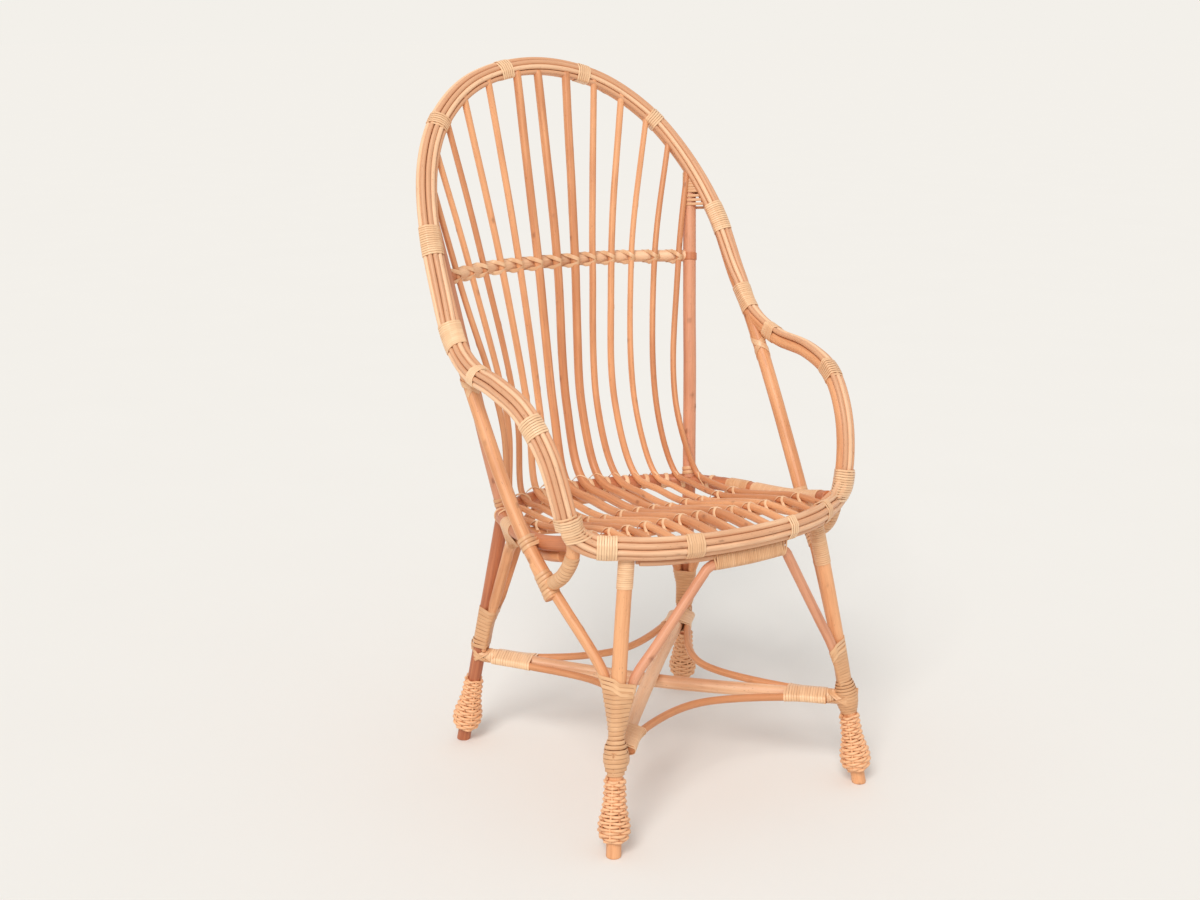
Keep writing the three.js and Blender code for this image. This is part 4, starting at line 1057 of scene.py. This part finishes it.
def hug(over, top, radius):  # a broad strip down the sitter's right of a spindle to the slat's front edge
    edge = slats["width"] / 2 + 1.0
    foot = spot(over[0] - radius - 0.5, over[1], top)
    rows = [(over, (radius * 0.9, 2, radius * 0.44), (0.9, 0, 0.44)),
            (over, (radius * 0.4, 1, radius * 0.92), (0, 0, 1)),
            (over, (-radius * 0.5, -1, radius * 0.87), (-0.5, 0, 0.87)),
            (over, (-radius, -4, 0), (-1, -0.2, 0.2)),
            (foot, (0, -edge * 0.6, 0.8), (-0.4, -0.2, 1)),
            (foot, (0, -edge, -3), (0, -1, 0.1))]
    return strap(np.eye(3), rows)


def chevron(carrier, crosser, along, half, radius, reach, sign):  # one arm of a lashing that points left
    rows = [(carrier, (-half * 0.7, half * 0.7, -reach * 1.3), (-1, 1, 0)),
            (carrier, (0, half, -reach), (0, 1, 0)),
            (crosser, (radius * 0.6, half * 0.66, -radius * 0.8), (1, 0, -0.5)),
            (crosser, (radius, half * 0.3, radius * 0.2), (1, 0, 0)),
            (crosser, (radius * 0.2, -half * 0.1, radius * 0.95), (1, 0, 1)),
            (carrier, (half * 0.9, -half * 0.3, radius + 3), (1, 0, 0.3))]
    return strap(axesAt(carrier, crosser, along, sign), rows)


def stretcherLash(name, radius, shift, sign):  # round the leg's outer side and past the stretcher
    end, far, _ = stretcherEnds[name]
    out = unit(end - far)
    under = stretch["diameter"] / 2 + 1.4
    rows = [(end, (radius - 0.8, 0, 13 + shift), (1, 0, 0)),
            (end, (0, radius, 3 + shift), (0, 1, 0)),
            (end, (-radius - 5 - shift, under * 0.8, -under * 0.7), (0, 1, -0.7)),
            (end, (-radius - 7 - shift, 0, -under), (0, 0, -1))]
    return strap((out, np.cross(up, out), up * sign), thereAndBack(rows, (1, -1, 1)))


lashings = {"width": 5.6, "radius": {"front": 17.9, "rear": 12.4}, "shifts": (-3.4, 1.4), "slant": (36, 64),
            "slantSteps": (-6.4, 0.0, 6.4), "slantLift": 1.7,
            "slants": {"front_right": (-0.5, 5.72), "front_left": (0.5, 2.58)}}  # turns and phase
lashLines = [stretcherLash(name, lashings["radius"][name.split("_")[0]], shift, sign)
             for name in legs for shift in lashings["shifts"] for sign in (1, -1)]
for name, (turns, phase) in lashings["slants"].items():  # over the front of the funnel above the joint
    low, high = legStretch(name, *(joint[name] + height for height in lashings["slant"]))
    for step in lashings["slantSteps"]:
        lashLines.append(wind([legs[name], hoop, frontBrace], legs[name], low + step, high + step,
                              lashings["width"], turns, phase, lashings["slantLift"]))
growSkein("jointLashings", lashLines, lashings["width"], material=skeinWillow)

ties = {"width": 3.0, "broad": 1.6, "barWidth": 6.6, "lift": 0.6, "slatReach": 8.5, "railReach": 10,
        "railBroad": 2.4, "railTurns": 1.1, "railPhase": 1.0, "barReach": 17, "rearY": 60}
slatDepth, slatHalf = slats["thickness"] / 2 + ties["lift"], slats["width"] / 2 + ties["lift"]
railHalf = seat["railDiameter"] / 2 + ties["lift"]
barHalf = bar["diameter"] / 2 + ties["lift"] * 2
tieLines, barLines = [], []
for stick in spindles:
    radius = np.mean(stick.radii) + ties["lift"]
    for name, (y, _) in slats["rows"].items():
        over = crossing(stick.line, 1, y)
        top = slatTop(name, over[0])
        under = top - up * slats["thickness"] / 2
        tieLines.append(lash(under, over, xAxis, slatDepth, slatHalf, radius, ties["slatReach"]))
        tieLines.append(hug(over, top[2], radius) | {"thick": ties["broad"]})
    gaps = norm(stick.line[:, None] - seatRail.line[None], axis=2)
    gaps[stick.line[:, 1] < ties["rearY"]] = np.inf  # only the crossing at the rear
    i, j = np.unravel_index(np.argmin(gaps), gaps.shape)
    along = unit(seatRail.line[j + 1] - seatRail.line[j - 1])
    tieLines.append(lash(seatRail.line[j], stick.line[i], along, railHalf, railHalf, radius,
                         ties["railReach"]))
    beside = seatRail.run[j] + radius + ties["railReach"] / 2
    coil = wind([seatRail], seatRail, beside, beside + ties["railReach"], ties["width"],
                ties["railTurns"], ties["railPhase"])
    tieLines.append(coil | {"thick": ties["railBroad"]})
    before = crossing(stick.line, 2, barZ)
    j = np.argmin(norm(crossBar.line - before, axis=1))
    along = tangents(crossBar.line)[j]
    barLines += [chevron(crossBar.line[j], before, along, barHalf, radius, ties["barReach"], sign)
                 for sign in (1, -1)]
growSkein("seatTies", tieLines, ties["width"])
growSkein("barLashings", barLines, ties["barWidth"])
print("skein made")


# Woven sleeves: one strand in and out of upright stakes, row on row round a hidden core

sleeve = {
    "outline": [(22, 17.0), (26, 21.4), (33, 24.4), (42, 25.2), (52, 24.0), (64, 20.8), (80, 18.0),
                (98, 17.0), (116, 16.8)],  # height and radius
    "edge": 2, "rowPitch": 4.5, "strand": 4.7, "stakes": 9, "stake": 3.4, "stakeStep": 3.0, "weave": 1.7,
    "steps": 60, "core": 6.4, "tone": 0.3, "coreTone": 0.9,
    "look": {"sides": 8, "knot": 0.0, "knots": 0.0, "ripple": 0.3},
}


def sleeveRadius(z):
    heights, radii = zip(*sleeve["outline"])
    return np.interp(z, heights, radii)


def sleeveLines(name):
    low, high = sleeve["outline"][0][0] + sleeve["edge"], sleeve["outline"][-1][0] - sleeve["edge"]
    rows = (high - low) / sleeve["rowPitch"]
    share = np.linspace(0, 1, int(rows * sleeve["steps"]))
    axis = unit(legs[name].line[-1] - legs[name].line[0])
    side = unit(np.cross(axis, yAxis))
    rise = np.cross(axis, side)
    half = sleeve["strand"] / 2

    def around(heights, reach, angles):
        centres = np.array([legAxis(name, z) for z in heights])
        return centres + np.outer(reach * np.cos(angles), side) + np.outer(reach * np.sin(angles), rise)

    # an odd number of stakes, so that each row goes over where the last went under
    angles = 2 * math.pi * rows * share
    inOut = 1 - np.cos(angles * sleeve["stakes"] / 2 + sway(len(share), 0.5, 60))
    heights = low + (high - low) * share + sway(len(share), 0.9, 90)
    reach = sleeveRadius(heights) - half - sleeve["weave"] * inOut
    thick = half * (1 + sway(len(share), 0.12, 60)) * mm
    tone = sleeve["tone"] + sway(len(share), 0.1, 60)
    lines = [{"path": around(heights, reach, angles), "thick": thick, "tone": tone}]
    heights = np.arange(low, high, sleeve["stakeStep"])
    reach = sleeveRadius(heights) - half - sleeve["weave"]
    for k in range(sleeve["stakes"]):
        path = around(heights, reach, np.full(len(heights), 2 * math.pi * k / sleeve["stakes"]))
        lines.append({"path": path, "thick": sleeve["stake"] / 2 * mm, "tone": dice.uniform()})
    thick = np.maximum(sleeveRadius(heights) - sleeve["core"], feet["diameter"] / 2) * mm
    path = np.array([legAxis(name, z) for z in heights])
    return [*lines, {"path": path, "thick": thick, "tone": sleeve["coreTone"]}]


weaves = [line for name in legs for line in sleeveLines(name)]
growRound("footSleeves", weaves, sleeve["look"], "weave", tagged(legs, "_foot_sleeve"))


# Camera, light and floor

camera = {"place": spot(-1399, -2134.8, 1157), "azimuth": -32.027, "elevation": 14.286,
          "lens": 49.83, "sensor": 36}
lens = bpy.data.cameras.new("camera")
lens.lens = camera["lens"]
lens.sensor_width = camera["sensor"]
eye = addObject("camera", lens)
eye.location = camera["place"] * mm
eye.rotation_euler = (math.radians(90 - camera["elevation"]), 0.0, math.radians(camera["azimuth"]))
bpy.context.scene.camera = eye

studio = {
    "floor": 240.0, "pale": srgb(240, 239, 236), "mottle": srgb(226, 224, 220), "far": srgb(243, 240, 234),
    "sky": 0.66, "skyColour": (1, 0.985, 0.965, 1), "sun": 1.75, "sunSize": 24.0,
    "sunColour": (1.0, 0.97, 0.93), "sunFrom": spot(-0.62, -0.56, 0.78),
}
sun = bpy.data.lights.new("softSun", "SUN")
sun.energy = studio["sun"]
sun.angle = math.radians(studio["sunSize"])
sun.color = studio["sunColour"]
x, y, z = unit(studio["sunFrom"])
addObject("softSun", sun).rotation_euler = (math.acos(z), 0.0, math.atan2(y, x) + math.pi / 2)

floorMesh = bpy.data.meshes.new("floor")
half = studio["floor"] / 2
corners = [(-half, -half, 0), (half, -half, 0), (half, half, 0), (-half, half, 0)]
floorMesh.from_pydata(corners, [], [(0, 1, 2, 3)])
floor = addObject("floor", floorMesh)
floorFinish = bpy.data.materials.new("paleFloor")
g = freshGraph(floorFinish)
mottle = g.noise(g.node("ShaderNodeTexCoord", out="Object"), 3.0, 3.0)
floorColour = g.mix(mottle * 0.12, studio["pale"], studio["mottle"])
g.surface({"Base Color": floorColour, "Roughness": 0.8, "Specular IOR Level": 0.0})
floorMesh.materials.append(floorFinish)

world = bpy.data.worlds.new("studio")
bpy.context.scene.world = world
g = freshGraph(world)
path = g.node("ShaderNodeLightPath")
seen = g.math("MAXIMUM", path, path.other("Is Glossy Ray"))
light = g.node("ShaderNodeBackground", {"Color": studio["skyColour"], "Strength": studio["sky"]})
pale = g.node("ShaderNodeBackground", {"Color": studio["far"], "Strength": 1.0})
mixed = g.node("ShaderNodeMixShader", {0: seen, 1: light, 2: pale})
g.node("ShaderNodeOutputWorld", {"Surface": mixed})
bpy.context.scene.view_settings.view_transform = "Standard"
print("studio ready")
